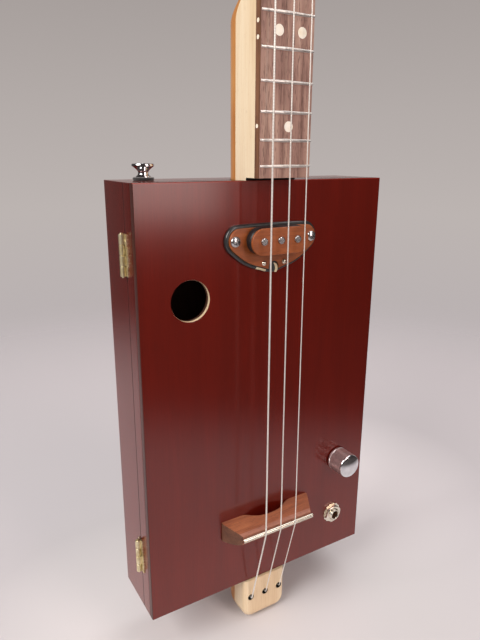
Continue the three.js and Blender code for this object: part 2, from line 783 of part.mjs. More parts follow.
// Volume control: pot behind the soundboard, nut in front, shaft and knob that turn together
function makeVolume() {
  const bushingY = faceY - panelBushingProud;
  const potBackY = liningY + potDepth;
  const capY = faceY - knobLift - knobHeight;
  const shaftEndY = capY + knobCrown;
  const pot = [
    [shaftRadius + runningGap, bushingY],
    [panelBushingRadius, bushingY],
    [panelBushingRadius, liningY],
    [potRadius, liningY],
    [potRadius, potBackY],
    [0, potBackY],
    [0, potBackY - potWall],
    [shaftRadius + runningGap, potBackY - potWall],
    [shaftRadius + runningGap, bushingY],
  ];
  add("volume_pot", turned(pot, volumeX, volumeZ), nickel);
  const nut = slab(hexagon(volumeX, volumeZ, nutAcrossFlats), faceY - potNutThickness, faceY);
  const thread = rod(panelBushingRadius + runningGap, volumeX, volumeZ, faceY - lidDepth, faceY + overrun, roundSides);
  add("volume_nut", cut(nut, thread), nickel);
  const shaftBackY = potBackY - potWall - seatGap;
  add("volume_shaft", rod(shaftRadius, volumeX, volumeZ, shaftEndY, shaftBackY, roundSides), nickel);
  const skirtY = faceY - knobLift;
  const recessY = skirtY - knobRecessDepth;
  const knob = [
    [0, capY],
    [knobRadius * 0.55, capY + knobDome * 0.3],
    [knobRadius - knobDome, capY + knobDome * 0.7],
    [knobRadius, capY + knobDome * 1.5],
    [knobRadius, skirtY],
    [knobRecessRadius, skirtY],
    [knobRecessRadius, recessY],
    [shaftRadius + runningGap, recessY],
    [shaftRadius + runningGap, shaftEndY - runningGap],
    [0, shaftEndY - runningGap],
  ];
  add("volume_knob", turned(knob, volumeX, volumeZ, fineSides), chrome);
}

// Output jack: open barrel through the soundboard, held by a washer and a hexagon nut
function makeJack() {
  const frontY = faceY - jackProud;
  const barrelY = liningY + jackBarrelLength;
  const barrel = [
    [jackBoreRadius, frontY],
    [panelBushingRadius, frontY],
    [panelBushingRadius, liningY],
    [jackBarrelRadius, liningY],
    [jackBarrelRadius, barrelY],
    [jackBoreRadius, barrelY],
    [jackBoreRadius, frontY],
  ];
  add("output_jack", turned(barrel, jackX, jackZ), nickel);
  const nutY = faceY - washerThickness - jackNutThickness;
  const flange = rod(washerRadius, jackX, jackZ, faceY - washerThickness, faceY, roundSides);
  const nut = slab(hexagon(jackX, jackZ, nutAcrossFlats), nutY, faceY - washerThickness / 2);
  const thread = rod(panelBushingRadius + runningGap, jackX, jackZ, frontY, faceY + overrun, roundSides);
  add("jack_nut", cut(join(flange, nut), thread), nickel);
}

// Ferrules that line the string holes in the tail
function makeFerrules() {
  stringPlaces(bridgeStringSpacing).forEach((x, i) => {
    const sleeve = [
      [ferruleBoreRadius, tailY],
      [ferruleOuterRadius, tailY],
      [ferruleOuterRadius, tailY + ferruleLength],
      [ferruleBoreRadius, tailY + ferruleLength],
      [ferruleBoreRadius, tailY],
    ];
    add(`tail_ferrule_${stringNames[i]}`, turned(sleeve, x, tailHoleHeight, smallSides), blackened);
  });
}

// Strap button on a felt washer, its stem let into the tray's top wall
function makeStrapButton() {
  const upright = (profile, sides) => {
    const points = profile.map(([radius, z]) => new THREE.Vector2(radius, z));
    return solid(new THREE.LatheGeometry(points, sides).rotateX(Math.PI / 2).translate(strapX, strapDepth, 0));
  };
  const washer = [
    [strapStemRadius + runningGap, boxTop],
    [feltRadius, boxTop],
    [feltRadius, strapZ],
    [strapStemRadius + runningGap, strapZ],
    [strapStemRadius + runningGap, boxTop],
  ];
  add("strap_felt", upright(washer, roundSides), felt);
  const button = [
    [0, boxTop - strapStemLength],
    [strapStemRadius, boxTop - strapStemLength],
    [strapStemRadius, strapZ],
    [strapBaseRadius, strapZ],
    [strapBaseRadius, strapZ + strapHeight * 0.12],
    [strapWaistRadius, strapZ + strapHeight * 0.4],
    [strapWaistRadius * 1.15, strapZ + strapHeight * 0.62],
    [strapHeadRadius, strapZ + strapHeight * 0.85],
    [strapHeadRadius * 0.95, strapZ + strapHeight],
    [0, strapZ + strapHeight],
  ];
  add("strap_button", upright(button, roundSides), chrome);
}

// Tuning machines: housing behind, bushing in front, post through both, key at the side
function makeTuners() {
  for (const { name, x, z, out } of tuners) {
    const keyY = headBackY + housingDepth / 2;
    const keyZ = z - wormOffset;
    const outerX = x + out * (tunerSideInset - overrun);
    const innerX = outerX - out * housingWidth;
    const [x0, x1] = [Math.min(outerX, innerX), Math.max(outerX, innerX)];
    const top = z + housingAbovePost;
    const low = top - housingLength;
    const shell = outline([
      [headBackY, low],
      [headBackY, top],
      [headBackY + housingDepth - housingRounding, top],
      [headBackY + housingDepth, top - housingRounding],
      [headBackY + housingDepth, low + housingRounding],
      [headBackY + housingDepth - housingRounding, low],
    ]);
    const postBackY = headBackY + postSocketDepth;
    const across = (radius, from, to) => {
      const axle = new THREE.CylinderGeometry(radius, radius, Math.abs(to - from), smallSides);
      return solid(axle.rotateZ(Math.PI / 2).translate((from + to) / 2, keyY, keyZ));
    };
    const socketX = outerX - out * keySocketDepth;
    const housing = cut(
      bar(shell, x0, x1),
      rod(postRadius + runningGap, x, z, headBackY - overrun, postBackY, roundSides),
      across(keyShaftRadius + runningGap, socketX, outerX + out * overrun),
    );
    add(`tuner_housing_${name}`, housing, chrome);
    const bushing = [
      [postRadius + runningGap, headY - bushingFlangeThickness],
      [bushingFlangeRadius, headY - bushingFlangeThickness],
      [bushingFlangeRadius, headY],
      [bushingTubeRadius, headY],
      [bushingTubeRadius, headBackY - bushingTubeGap],
      [postRadius + runningGap, headBackY - bushingTubeGap],
      [postRadius + runningGap, headY - bushingFlangeThickness],
    ];
    add(`tuner_bushing_${name}`, turned(bushing, x, z), chrome);
    const capY = headY - postHeight;
    const post = [
      [0, capY],
      [postCapRadius * 0.7, capY],
      [postCapRadius, capY + postDome * 0.6],
      [postCapRadius, capY + postDome],
      [postRadius, capY + postDome * 1.6],
      [postRadius, postBackY - seatGap],
      [0, postBackY - seatGap],
    ];
    add(`tuner_post_${name}`, turned(post, x, z), chrome);
    const grip = new THREE.SphereGeometry(1, smallSides, gripRings);
    grip.scale(keyLength / 2, keyThickness / 2, keySpan / 2);
    const gripX = outerX + out * (keyReach + keyLength / 2);
    grip.translate(gripX, keyY, keyZ);
    const stem = across(keyShaftRadius, socketX + out * seatGap, gripX);
    add(`tuner_key_${name}`, join(solid(grip), stem), chrome);
  }
}

// A lead held between two pieces, straight where it leaves each of them
function makeLead(name, points) {
  const route = new THREE.CatmullRomCurve3(
    points.map(([x, y, z]) => new THREE.Vector3(x, y, z)),
    false,
    "centripetal",
  );
  const section = new THREE.Shape();
  section.absarc(0, 0, leadRadius, 0, 2 * Math.PI);
  const options = { steps: leadSteps, extrudePath: route, curveSegments: 4 };
  add(name, solid(new THREE.ExtrudeGeometry(section, options)), blackFibre);
}

function makeLeads() {
  const insideY = liningY + 3 * leadRadius;
  const potTopZ = volumeZ + potRadius + seatGap;
  const potY = liningY + potDepth / 2;
  makeLead("pickup_lead", [
    [leadHoleX, baseY + seatGap, leadHoleZ],
    [leadHoleX, faceY, leadHoleZ],
    [leadHoleX, liningY, leadHoleZ],
    [leadHoleX + leadRadius, insideY, leadHoleZ - 3 * leadRadius],
    [leadHoleX + 2 * leadRadius, insideY, leadHoleZ - 12 * leadRadius],
    [(leadHoleX + volumeX) / 2, insideY, (leadHoleZ + volumeZ) / 2],
    [volumeX, potY - leadRadius, potTopZ + 12 * leadRadius],
    [volumeX, potY, potTopZ + 4 * leadRadius],
    [volumeX, potY, potTopZ + 2 * leadRadius],
    [volumeX, potY, potTopZ],
  ]);
  const potLowZ = volumeZ - potRadius - seatGap;
  const jackTopZ = jackZ + jackBarrelRadius + seatGap;
  const jackY = liningY + jackBarrelLength / 2;
  makeLead("jack_lead", [
    [volumeX, potY, potLowZ],
    [volumeX, potY, potLowZ - 2 * leadRadius],
    [volumeX, (potY + jackY) / 2, potLowZ - 5 * leadRadius],
    [jackX, jackY, jackTopZ + 5 * leadRadius],
    [jackX, jackY, jackTopZ + 2 * leadRadius],
    [jackX, jackY, jackTopZ],
  ]);
}

makeBox();
makeHinges();
makeNeck();
makeFretboard();
makeStrings();
makeBridge();
makePickup();
makeVolume();
makeJack();
makeFerrules();
makeStrapButton();
makeTuners();
makeLeads();

// Hang the guitar from its nut line, in the plane of the box's face
guitar.position.set(0, -faceY, -nutZ);
const model = new THREE.Group();
model.add(guitar);

export default model;
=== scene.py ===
import math

import bmesh
import bpy
from mathutils import Matrix, Vector


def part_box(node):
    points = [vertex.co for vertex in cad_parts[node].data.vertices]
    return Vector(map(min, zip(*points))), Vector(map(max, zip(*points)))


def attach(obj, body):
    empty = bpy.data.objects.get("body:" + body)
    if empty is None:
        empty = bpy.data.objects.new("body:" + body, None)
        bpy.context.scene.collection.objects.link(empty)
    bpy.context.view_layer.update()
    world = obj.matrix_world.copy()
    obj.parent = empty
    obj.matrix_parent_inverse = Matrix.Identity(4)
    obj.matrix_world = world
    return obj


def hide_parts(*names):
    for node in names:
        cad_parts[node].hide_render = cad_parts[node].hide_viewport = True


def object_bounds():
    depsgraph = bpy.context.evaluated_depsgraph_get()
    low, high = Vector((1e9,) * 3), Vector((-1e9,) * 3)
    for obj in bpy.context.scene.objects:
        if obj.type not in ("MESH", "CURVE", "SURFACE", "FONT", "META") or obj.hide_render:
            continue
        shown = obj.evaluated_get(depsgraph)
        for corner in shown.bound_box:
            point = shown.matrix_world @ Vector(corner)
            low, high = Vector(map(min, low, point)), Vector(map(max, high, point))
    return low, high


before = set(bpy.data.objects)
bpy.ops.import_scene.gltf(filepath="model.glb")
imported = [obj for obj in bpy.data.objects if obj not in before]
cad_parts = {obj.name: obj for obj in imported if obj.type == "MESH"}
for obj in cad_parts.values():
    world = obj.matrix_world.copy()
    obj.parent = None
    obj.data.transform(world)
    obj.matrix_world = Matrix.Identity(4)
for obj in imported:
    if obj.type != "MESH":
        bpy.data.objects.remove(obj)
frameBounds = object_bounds()

# Sizes are in millimetres up to the moment a piece is finished, then in metres.
# -Y is the playing side, +Z runs up the neck, and the nut line is at zero height.
mm = 0.001


def nodeBox(*nodes):
    boxes = [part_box(node) for node in nodes]
    low = Vector([min(lo[i] for lo, hi in boxes) for i in range(3)]) / mm
    high = Vector([max(hi[i] for lo, hi in boxes) for i in range(3)]) / mm
    return low, high


def near(a, b, within=0.02):
    return abs(a - b) < within


def placed(name, data):
    thing = bpy.data.objects.new(name, data)
    bpy.context.scene.collection.objects.link(thing)
    return thing


# Camera at the photograph's place, its directions as unit vectors
camera = {
    "place": (-0.212132, -0.315152, -0.383502),
    "right": (0.8587, -0.5124, 0.004),
    "forward": (0.4929, 0.8238, -0.2801),
    "lens": 31.98,
    "sensor": 36,
}


def makeCamera():
    data = bpy.data.cameras.new("photographView")
    data.lens = camera["lens"]
    data.sensor_width = camera["sensor"]
    data.clip_start = 0.01
    data.clip_end = 50
    viewer = placed("photographView", data)
    forward = Vector(camera["forward"]).normalized()
    right = Vector(camera["right"])
    right = (right - forward * right.dot(forward)).normalized()
    up = right.cross(forward)
    turn = Matrix((right, up, -forward)).transposed()
    viewer.matrix_world = Matrix.Translation(camera["place"]) @ turn.to_4x4()
    bpy.context.scene.camera = viewer


makeCamera()
print("camera placed")


# Nodes and colours
def linear(code):
    parts = [int(code[i:i + 2], 16) / 255 for i in (1, 3, 5)]
    return [p / 12.92 if p <= 0.04045 else ((p + 0.055) / 1.055) ** 2.4 for p in parts] + [1.0]


def addNode(tree, kind, settings=None, links=None):
    node = tree.nodes.new(kind)
    for key, value in (settings or {}).items():
        if isinstance(key, str) and hasattr(node, key):
            setattr(node, key, value)
        else:
            node.inputs[key].default_value = value
    for key, source in (links or {}).items():
        tree.links.new(source, node.inputs[key])
    return node


def newMaterial(name, roughness, metallic=0.0, coat=0.0, coatRoughness=0.1, ior=1.5):
    material = bpy.data.materials.new(name)
    material.use_nodes = True
    shader = material.node_tree.nodes["Principled BSDF"]
    shader.inputs["Roughness"].default_value = roughness
    shader.inputs["Metallic"].default_value = metallic
    if not metallic:
        shader.inputs["IOR"].default_value = ior
    shader.inputs["Coat Weight"].default_value = coat
    shader.inputs["Coat Roughness"].default_value = coatRoughness
    return material, material.node_tree, shader


def placedAt(tree, spacing):
    # Object coordinates stretched so that one pattern step is this many millimetres along X, Y and Z
    place = addNode(tree, "ShaderNodeTexCoord")
    scale = [1 / (step * mm) for step in spacing]
    return addNode(tree, "ShaderNodeMapping", {"Scale": scale},
                   {"Vector": place.outputs["Object"]}).outputs[0]


def noise(tree, spacing, detail=3.0, rough=0.55, distortion=0.0):
    settings = {"Scale": 1.0, "Detail": detail, "Roughness": rough, "Distortion": distortion}
    return addNode(tree, "ShaderNodeTexNoise", settings, {"Vector": placedAt(tree, spacing)}).outputs[0]


def ramp(tree, source, stops):
    node = addNode(tree, "ShaderNodeValToRGB", links={"Fac": source})
    points = node.color_ramp.elements
    while len(points) < len(stops):
        points.new(0.5)
    for point, (at, colour) in zip(points, stops):
        point.position = at
        point.color = linear(colour) if isinstance(colour, str) else (colour, colour, colour, 1)
    return node.outputs[0]


def mixed(tree, amount, first, second, blend="MIX"):
    node = addNode(tree, "ShaderNodeMix", {"data_type": "RGBA", "blend_type": blend})
    for index, value in ((0, amount), (6, first), (7, second)):
        if hasattr(value, "is_output"):
            tree.links.new(value, node.inputs[index])
        else:
            node.inputs[index].default_value = linear(value) if isinstance(value, str) else value
    return node.outputs[2]


def calculated(tree, operation, first, second):
    node = addNode(tree, "ShaderNodeMath", {"operation": operation})
    for index, value in enumerate((first, second)):
        if hasattr(value, "is_output"):
            tree.links.new(value, node.inputs[index])
        else:
            node.inputs[index].default_value = value
    return node.outputs[0]


def addBump(tree, shader, height, distance, strength=1.0, coat=False):
    settings = {"Strength": strength, "Distance": distance * mm}
    bump = addNode(tree, "ShaderNodeBump", settings, {"Height": height})
    tree.links.new(bump.outputs[0], shader.inputs["Normal"])
    if coat:
        tree.links.new(bump.outputs[0], shader.inputs["Coat Normal"])


# Wood: fibres, wider figure and short open pores, all stretched along the grain
def makeWood(name, wood, along="Z"):
    material, tree, shader = newMaterial(
        name, wood["roughness"], coat=wood.get("coat", 0.0), coatRoughness=wood.get("coatRoughness", 0.15),
        ior=wood.get("ior", 1.5),
    )
    shader.inputs["Specular Tint"].default_value = linear(wood.get("gloss", "#ffffff"))
    shader.inputs["Coat Tint"].default_value = linear(wood.get("coatTint", "#ffffff"))
    shader.inputs["Coat IOR"].default_value = wood.get("coatIor", 1.5)

    def stretched(width, length):
        return [length if axis == along else width for axis in "XYZ"]

    fibre = noise(tree, stretched(wood["fibre"], wood["fibre"] * wood["stretch"]), 4.0, 0.62)
    figure = noise(tree, stretched(wood["figure"], wood["figure"] * wood["figureStretch"]), 2.0, 0.5, 0.6)
    share = wood["figureShare"]
    streaks = calculated(tree, "MULTIPLY", fibre, 1 - share)
    broad = calculated(tree, "MULTIPLY", figure, share)
    both = calculated(tree, "ADD", streaks, broad)
    colour = ramp(tree, both, wood["colours"])
    pores = noise(tree, stretched(wood["pore"], wood["pore"] * wood["poreStretch"]), 2.0, 0.5)
    openPores = ramp(tree, pores, [(wood["poreFrom"], 0.0), (wood["poreFrom"] + 0.05, 1.0)])
    amount = calculated(tree, "MULTIPLY", openPores, wood["poreShare"])
    colour = mixed(tree, amount, colour, wood["poreColour"])
    tree.links.new(colour, shader.inputs["Base Color"])
    sheen = ramp(tree, both, [(0.3, wood["roughness"] + 0.06), (0.7, wood["roughness"] - 0.05)])
    tree.links.new(sheen, shader.inputs["Roughness"])
    height = calculated(tree, "SUBTRACT", calculated(tree, "MULTIPLY", fibre, 0.35), openPores)
    addBump(tree, shader, height, wood["relief"], 0.6)
    return material


# Mahogany veneer under a clear red satin lacquer, sprayed and rubbed out: the lacquer tints all
# that comes back through it and lays a soft reflection of the room on top, over fine upright
# grain and short dark pores. Pores are drawn 0.5 mm wide.
mahogany = {
    "colours": [(0.25, "#34110a"), (0.5, "#47180d"), (0.75, "#5a2012")],
    "fibre": 0.9, "stretch": 60, "figure": 14, "figureStretch": 9, "figureShare": 0.45,
    "pore": 0.5, "poreStretch": 16, "poreFrom": 0.6, "poreShare": 0.5, "poreColour": "#220d08",
    "relief": 0.03, "roughness": 0.5, "ior": 2.1, "gloss": "#ee7a62", "coat": 1.0, "coatRoughness": 0.17,
    "coatTint": "#f69581", "coatIor": 1.58,
}
lacquerUpright = makeWood("satin_lacquered_mahogany", mahogany)
lacquerAcross = makeWood("satin_lacquered_mahogany_across", mahogany, "X")

# Edge grain, at the soundboard's sides and its top edge, drinks the stain: darker and dull
edgeGrain = dict(
    mahogany, colours=[(0.25, "#30100c"), (0.5, "#411711"), (0.75, "#521f17")], coat=0.0, ior=1.4,
    roughness=0.7,
    gloss="#f0b0a0",
)
topGrain = makeWood("stained_top_grain", edgeGrain)
lacquerEdge = makeWood("stained_edge_grain", dict(edgeGrain, coat=0.6, coatRoughness=0.3, coatTint="#ffffff"))
# A paler band along the soundboard's top front edge: painted highlight on the lacquer
edgeHighlightLacquer = makeWood(
    "lacquer_edge_painted_highlight", dict(mahogany, colours=[(0.25, "#80413c"), (0.5, "#95544e"), (0.75, "#a96660")]),
    "X",
)
# The joint between lid and tray, painted almost black: painted shade in the groove
jointShade = makeWood(
    "joint_painted_shade",
    dict(edgeGrain, colours=[(0.25, "#120605"), (0.5, "#1a0908"), (0.75, "#240d0b")], gloss="#ffffff"),
)

# Cedar-like plywood of the box, dark stained inside and in the joint between lid and tray: dry and dull
stainedWood = {
    "colours": [(0.3, "#331a10"), (0.5, "#452617"), (0.72, "#583120")],
    "fibre": 0.7, "stretch": 40, "figure": 11, "figureStretch": 7, "figureShare": 0.4,
    "pore": 0.45, "poreStretch": 14, "poreFrom": 0.62, "poreShare": 0.4, "poreColour": "#160906",
    "relief": 0.06, "roughness": 0.75,
}
stainedUpright = makeWood("stained_box_wood", stainedWood)
stainedAcross = makeWood("stained_box_wood_across", stainedWood, "X")

# The same plywood where it was sawn after staining: pale, dry and unpolished
bareWood = dict(
    stainedWood, colours=[(0.3, "#cda97c"), (0.5, "#dcc09a"), (0.72, "#ecd8b8")], poreColour="#a27a50",
    roughness=0.72,
)
rawWood = makeWood("sawn_box_wood", bareWood)

# Hard maple, sanded and sealed in clear satin: cream with faint brown flecks
mapleWood = {
    "colours": [(0.3, "#ddbf97"), (0.5, "#ebd3b0"), (0.75, "#f5e4c8")],
    "fibre": 0.8, "stretch": 55, "figure": 12, "figureStretch": 10, "figureShare": 0.5,
    "pore": 0.4, "poreStretch": 10, "poreFrom": 0.66, "poreShare": 0.35, "poreColour": "#b98f60",
    "relief": 0.03, "roughness": 0.42, "coat": 0.25, "coatRoughness": 0.25,
}
maple = makeWood("sealed_maple", mapleWood)

# The same maple on the rounded back, warm orange-brown with a softer grain: painted shade where the back
# turns away from the light
shadedBackWood = dict(
    mapleWood, colours=[(0.3, "#9e6029"), (0.5, "#bd7b3c"), (0.75, "#d69f5d")], poreColour="#855222",
    figure=24, figureStretch=2.2, figureShare=0.75,
)
shadedBackMaple = makeWood("maple_back_painted_shade", shadedBackWood)
# The tail's cut front and sides, a shade darker than the neck's sides: painted shadow of the box above
shadedTailMaple = makeWood(
    "maple_tail_painted_shade", dict(mapleWood, colours=[(0.3, "#cfb088"), (0.5, "#dec4a0"), (0.75, "#e9d7b8")]),
)

# The saw slit under the fingerboard's end, painted almost black: a painted shadow line
slitShadowWood = dict(
    mapleWood, colours=[(0.3, "#0c0705"), (0.5, "#120b08"), (0.75, "#19100c")], poreColour="#050302",
    coat=0.0,
    roughness=0.8,
)
slitShadow = makeWood("slit_painted_shadow", slitShadowWood)

# Indian rosewood fingerboard, sanded and dry: brown with dark and pinkish streaks along the neck; its pale
# pinkish tones are partly a painted sheen from the light in front
rosewoodWood = {
    "colours": [(0.28, "#6b473c"), (0.45, "#9a7568"), (0.6, "#b18d7c"), (0.78, "#c6a79c")],
    "fibre": 1.3, "stretch": 30, "figure": 6, "figureStretch": 9, "figureShare": 0.6,
    "pore": 0.6, "poreStretch": 10, "poreFrom": 0.58, "poreShare": 0.55, "poreColour": "#4b2e26",
    "relief": 0.05, "roughness": 0.5,
}
rosewood = makeWood("rosewood_painted_sheen", rosewoodWood)
# Its planed sides: the same wood darker and browner, painted shade for sides that lie out of the sheen
rosewoodShadedSide = makeWood(
    "rosewood_side_painted_shade",
    dict(rosewoodWood, colours=[(0.28, "#4f2c1c"), (0.5, "#734a31"), (0.75, "#906245")], roughness=0.65),
)

# Walnut-like bridge, planed and waxed: mid brown with a low sheen and grain along its length
bridgeWoodLook = {
    "colours": [(0.28, "#6a3520"), (0.5, "#8b4d30"), (0.75, "#ab6b46")],
    "fibre": 0.8, "stretch": 30, "figure": 6, "figureStretch": 6, "figureShare": 0.5,
    "pore": 0.45, "poreStretch": 9, "poreFrom": 0.6, "poreShare": 0.5, "poreColour": "#4c2413",
    "relief": 0.05, "roughness": 0.45, "coat": 0.2, "coatRoughness": 0.3,
}
bridgeWood = makeWood("waxed_walnut", bridgeWoodLook, "X")

# Its front edge above the rod: the same wood, paler and pinker, as a painted highlight
bridgeHighlight = makeWood(
    "walnut_edge_painted_highlight",
    dict(bridgeWoodLook, colours=[(0.28, "#7f4c3a"), (0.5, "#9a624d"), (0.75, "#b07963")]), "X",
)
# Its sawn ends: the same wood across the grain, darker and duller
bridgeEnd = makeWood(
    "sawn_bridge_end",
    dict(bridgeWoodLook, colours=[(0.28, "#45281a"), (0.5, "#603b29"), (0.75, "#7c5239")], coat=0.1,
         roughness=0.55), "X",
)

# Padauk veneer plates of the pickup, oiled: bright orange-red brown with fine grain
plateWood = {
    "colours": [(0.28, "#76390f"), (0.5, "#92491b"), (0.75, "#aa5e2b")],
    "fibre": 0.6, "stretch": 30, "figure": 5, "figureStretch": 6, "figureShare": 0.45,
    "pore": 0.4, "poreStretch": 9, "poreFrom": 0.62, "poreShare": 0.4, "poreColour": "#6b3014",
    "relief": 0.04, "roughness": 0.42, "coat": 0.3, "coatRoughness": 0.22,
}
plateVeneer = makeWood("oiled_padauk", plateWood, "X")


# Metals: a soft smudge in the roughness and, where there is one, a brushed or tarnished patch colour
def makeMetal(name, bright, dull, roughness, grain, patch=6.0, relief=0.0):
    material, tree, shader = newMaterial(name, roughness, 1.0)
    cloud = noise(tree, [patch] * 3, 3.0)
    tree.links.new(ramp(tree, cloud, [(0.35, dull), (0.65, bright)]), shader.inputs["Base Color"])
    worn = ramp(tree, cloud, [(0.3, roughness + 0.1), (0.7, roughness)])
    tree.links.new(worn, shader.inputs["Roughness"])
    if relief:
        addBump(tree, shader, noise(tree, grain, 2.0), relief, 0.5)
    return material


# Bright chrome plate, polished: a clean mirror with the faintest haze
chrome = makeMetal("polished_chrome", "#f2f2f4", "#dcdcdf", 0.07, [1, 1, 1])
# Bright nickel plate: a warmer mirror than chrome, slightly hazed by handling
nickel = makeMetal("nickel_plate", "#f6efe0", "#e2d9c6", 0.2, [1, 1, 1])
# Chrome over a fluted skirt: the same plate, scattered by its fine flutes and handling
flutedChrome = makeMetal("fluted_chrome", "#ece3e3", "#cbc0c0", 0.33, [0.5, 3, 0.5], 3.0, 0.01)
# Drawn nickel-silver rod and fret wire: light grey, with soft duller patches
fretMetal = makeMetal("nickel_silver_wire", "#fbf9f5", "#f1ede6", 0.3, [1, 1, 1], 12.0)
# Plain steel rod of the saddle, cut from threadless stock: one bright line over a dull belly
rodMetal = makeMetal("plain_steel_rod", "#efe9da", "#d6cfbc", 0.22, [1, 1, 1], 12.0)
# Zinc-plated steel screws and pole pieces: cool grey, turned faces
steel = makeMetal("zinc_plated_steel", "#dfdfe0", "#bfc0c2", 0.22, [0.4, 0.4, 0.4], 3.0, 0.01)
# Stamped brass with a thin dull film: pale yellow that darkens in patches
brass = makeMetal("stamped_brass", "#f6ebc8", "#dccb9c", 0.42, [0.5, 0.5, 0.5], 4.0, 0.02)
# Blued steel ferrules: almost black with a faint glint
bluedSteel = makeMetal("blued_steel", "#4a4440", "#2c2825", 0.35, [0.5, 0.5, 0.5], 2.0)


# Plain steel string wound with fine round wire: a bright line broken by tiny rings, darker between the turns
# as painted shade.
# The winding is 0.2 mm in life and drawn at 0.8 mm so that it shows.
def makeStringMetal(name, wound):
    material, tree, shader = newMaterial(name, 0.5, 0.7)
    place = addNode(tree, "ShaderNodeTexCoord")
    settings = {"wave_type": "BANDS", "bands_direction": "Z", "Scale": 2 * math.pi / 20 / (0.8 * mm)}
    rings = addNode(tree, "ShaderNodeTexWave", settings, {"Vector": place.outputs["Object"]}).outputs[1]
    # The ring colours darken the hollows between turns: painted shade, fainter on the plain string
    colours = [(0.0, "#d2cabf" if wound else "#ece8df"), (0.6, "#fffdf8")]
    tree.links.new(ramp(tree, rings, colours), shader.inputs["Base Color"])
    if wound:
        addBump(tree, shader, rings, 0.05, 0.5)
    return material


woundString = makeStringMetal("nickel_wound_string", True)
plainString = makeStringMetal("plain_steel_string", False)


# Moulded and woven parts: one colour that varies a little, with a fine skin
def makeSkin(name, light, dark, roughness, grit, relief, coat=0.0, sheen=0.0, ior=1.5):
    material, tree, shader = newMaterial(name, roughness, coat=coat, ior=ior)
    shader.inputs["Sheen Weight"].default_value = sheen
    cloud = noise(tree, [grit * 8] * 3, 3.0)
    tree.links.new(ramp(tree, cloud, [(0.3, dark), (0.7, light)]), shader.inputs["Base Color"])
    tree.links.new(ramp(tree, cloud, [(0.3, roughness + 0.07), (0.7, roughness)]), shader.inputs["Roughness"])
    addBump(tree, shader, noise(tree, [grit] * 3, 2.0), relief, 0.6)
    return material


# Cattle bone nut, polished: ivory with faint clouding
bone = makeSkin("polished_bone", "#f3ead6", "#e0d2b4", 0.32, 0.8, 0.01, coat=0.2)
# Cream plastic dots, moulded and sanded level with the board
dotPlastic = makeSkin("cream_dot_plastic", "#fffaf0", "#f6ead0", 0.3, 0.6, 0.005)
# Black vulcanised fibre of the pickup's base: dull, greyer at its worn edge
blackFibre = makeSkin("black_vulcanised_fibre", "#2c2e2e", "#161717", 0.36, 0.5, 0.02, coat=0.6)
# The fibre's bare cream edge where its black surface is cut away at the tip
bareFibre = makeSkin("bare_cream_fibre", "#e2d6b8", "#c8b890", 0.6, 0.6, 0.03)
# Vinyl tape round the coil: black with a low gloss
blackTape = makeSkin("black_vinyl_tape", "#1d1d1f", "#0c0c0d", 0.42, 1.6, 0.05, coat=0.1)
# Pressed wool felt under the strap button: dark grey and soft, with a lit nap
felt = makeSkin("pressed_wool_felt", "#221e1f", "#151314", 0.95, 0.5, 0.15, sheen=0.5)
# Soft PVC cover of the inner leads: black, slightly shiny
leadCover = makeSkin("black_pvc_cover", "#262628", "#161617", 0.42, 0.9, 0.02)
# Brown phenolic wafer and plug of the pot and jack: dry, speckled
phenolic = makeSkin("brown_phenolic", "#6f4527", "#54331c", 0.6, 0.6, 0.02)
print("materials made")


# Solids: a bmesh in millimetres, finished as a piece in metres
def addBlock(bm, low, high):
    verts = bmesh.ops.create_cube(bm, size=1)["verts"]
    bmesh.ops.scale(bm, verts=verts, vec=[h - l for l, h in zip(low, high)])
    bmesh.ops.translate(bm, verts=verts, vec=[(h + l) / 2 for l, h in zip(low, high)])
    return verts


def roundEdges(bm, chosen, radius, segments=4):
    edges = [edge for edge in bm.edges if chosen(edge)]
    bmesh.ops.bevel(
        bm, geom=edges, offset=radius, segments=segments, profile=0.5, affect="EDGES", material=-1,
        clamp_overlap=True,
    )


def allAt(axis, place):
    # Picks edges whose ends both lie at this place along the axis
    index = "XYZ".index(axis)
    return lambda edge: all(near(v.co[index], place) for v in edge.verts)


def quarterTurn(steps):
    return [math.pi / 2 * k / steps for k in range(steps + 1)]


def turned(bm, profile, centre, along="Y", steps=40, ring=False):
    # A profile of [radius, place along the axis], spun round the line through centre
    index = "XYZ".index(along)
    side = (index + 1) % 3
    axis = Vector([1 if i == index else 0 for i in range(3)])
    verts = []
    for radius, place in profile:
        point = Vector(centre)
        point[index] = place
        point[side] += radius
        verts.append(bm.verts.new(point))
    pairs = list(zip(verts, verts[1:] + verts[:1])) if ring else list(zip(verts, verts[1:]))
    edges = [bm.edges.new(pair) for pair in pairs]
    before = set(bm.verts) - set(verts)
    bmesh.ops.spin(
        bm, geom=verts + edges, cent=centre, axis=axis, dvec=(0, 0, 0), angle=2 * math.pi,
        steps=steps, use_merge=True, use_duplicate=False,
    )
    made = [v for v in bm.verts if v not in before]
    bmesh.ops.remove_doubles(bm, verts=made, dist=0.0005)
    return [v for v in bm.verts if v not in before]


def extruded(bm, points, direction):
    verts = [bm.verts.new(point) for point in points]
    face = bm.faces.new(verts)
    made = bmesh.ops.extrude_face_region(bm, geom=[face], use_keep_orig=True)["geom"]
    moved = [v for v in made if isinstance(v, bmesh.types.BMVert)]
    bmesh.ops.translate(bm, verts=moved, vec=direction)
    return verts + moved


def lofted(bm, sections):
    # A closed skin over loops of points, each loop with as many points as the next
    loops = []
    for points in sections:
        verts = [bm.verts.new(point) for point in points]
        loops.append([bm.edges.new(pair) for pair in zip(verts, verts[1:] + verts[:1])])
        if len(loops) in (1, len(sections)):
            bm.faces.new(verts)
    for lower, upper in zip(loops, loops[1:]):
        bmesh.ops.bridge_loops(bm, edges=lower + upper)
    bmesh.ops.remove_doubles(bm, verts=bm.verts, dist=0.001)


def facing(bm):
    bmesh.ops.recalc_face_normals(bm, faces=bm.faces)
    return bm


def loose(name, bm):
    mesh = bpy.data.meshes.new(name)
    facing(bm).to_mesh(mesh)
    bm.free()
    for _ in boardSlot:
        mesh.materials.append(None)
    return placed(name, mesh)


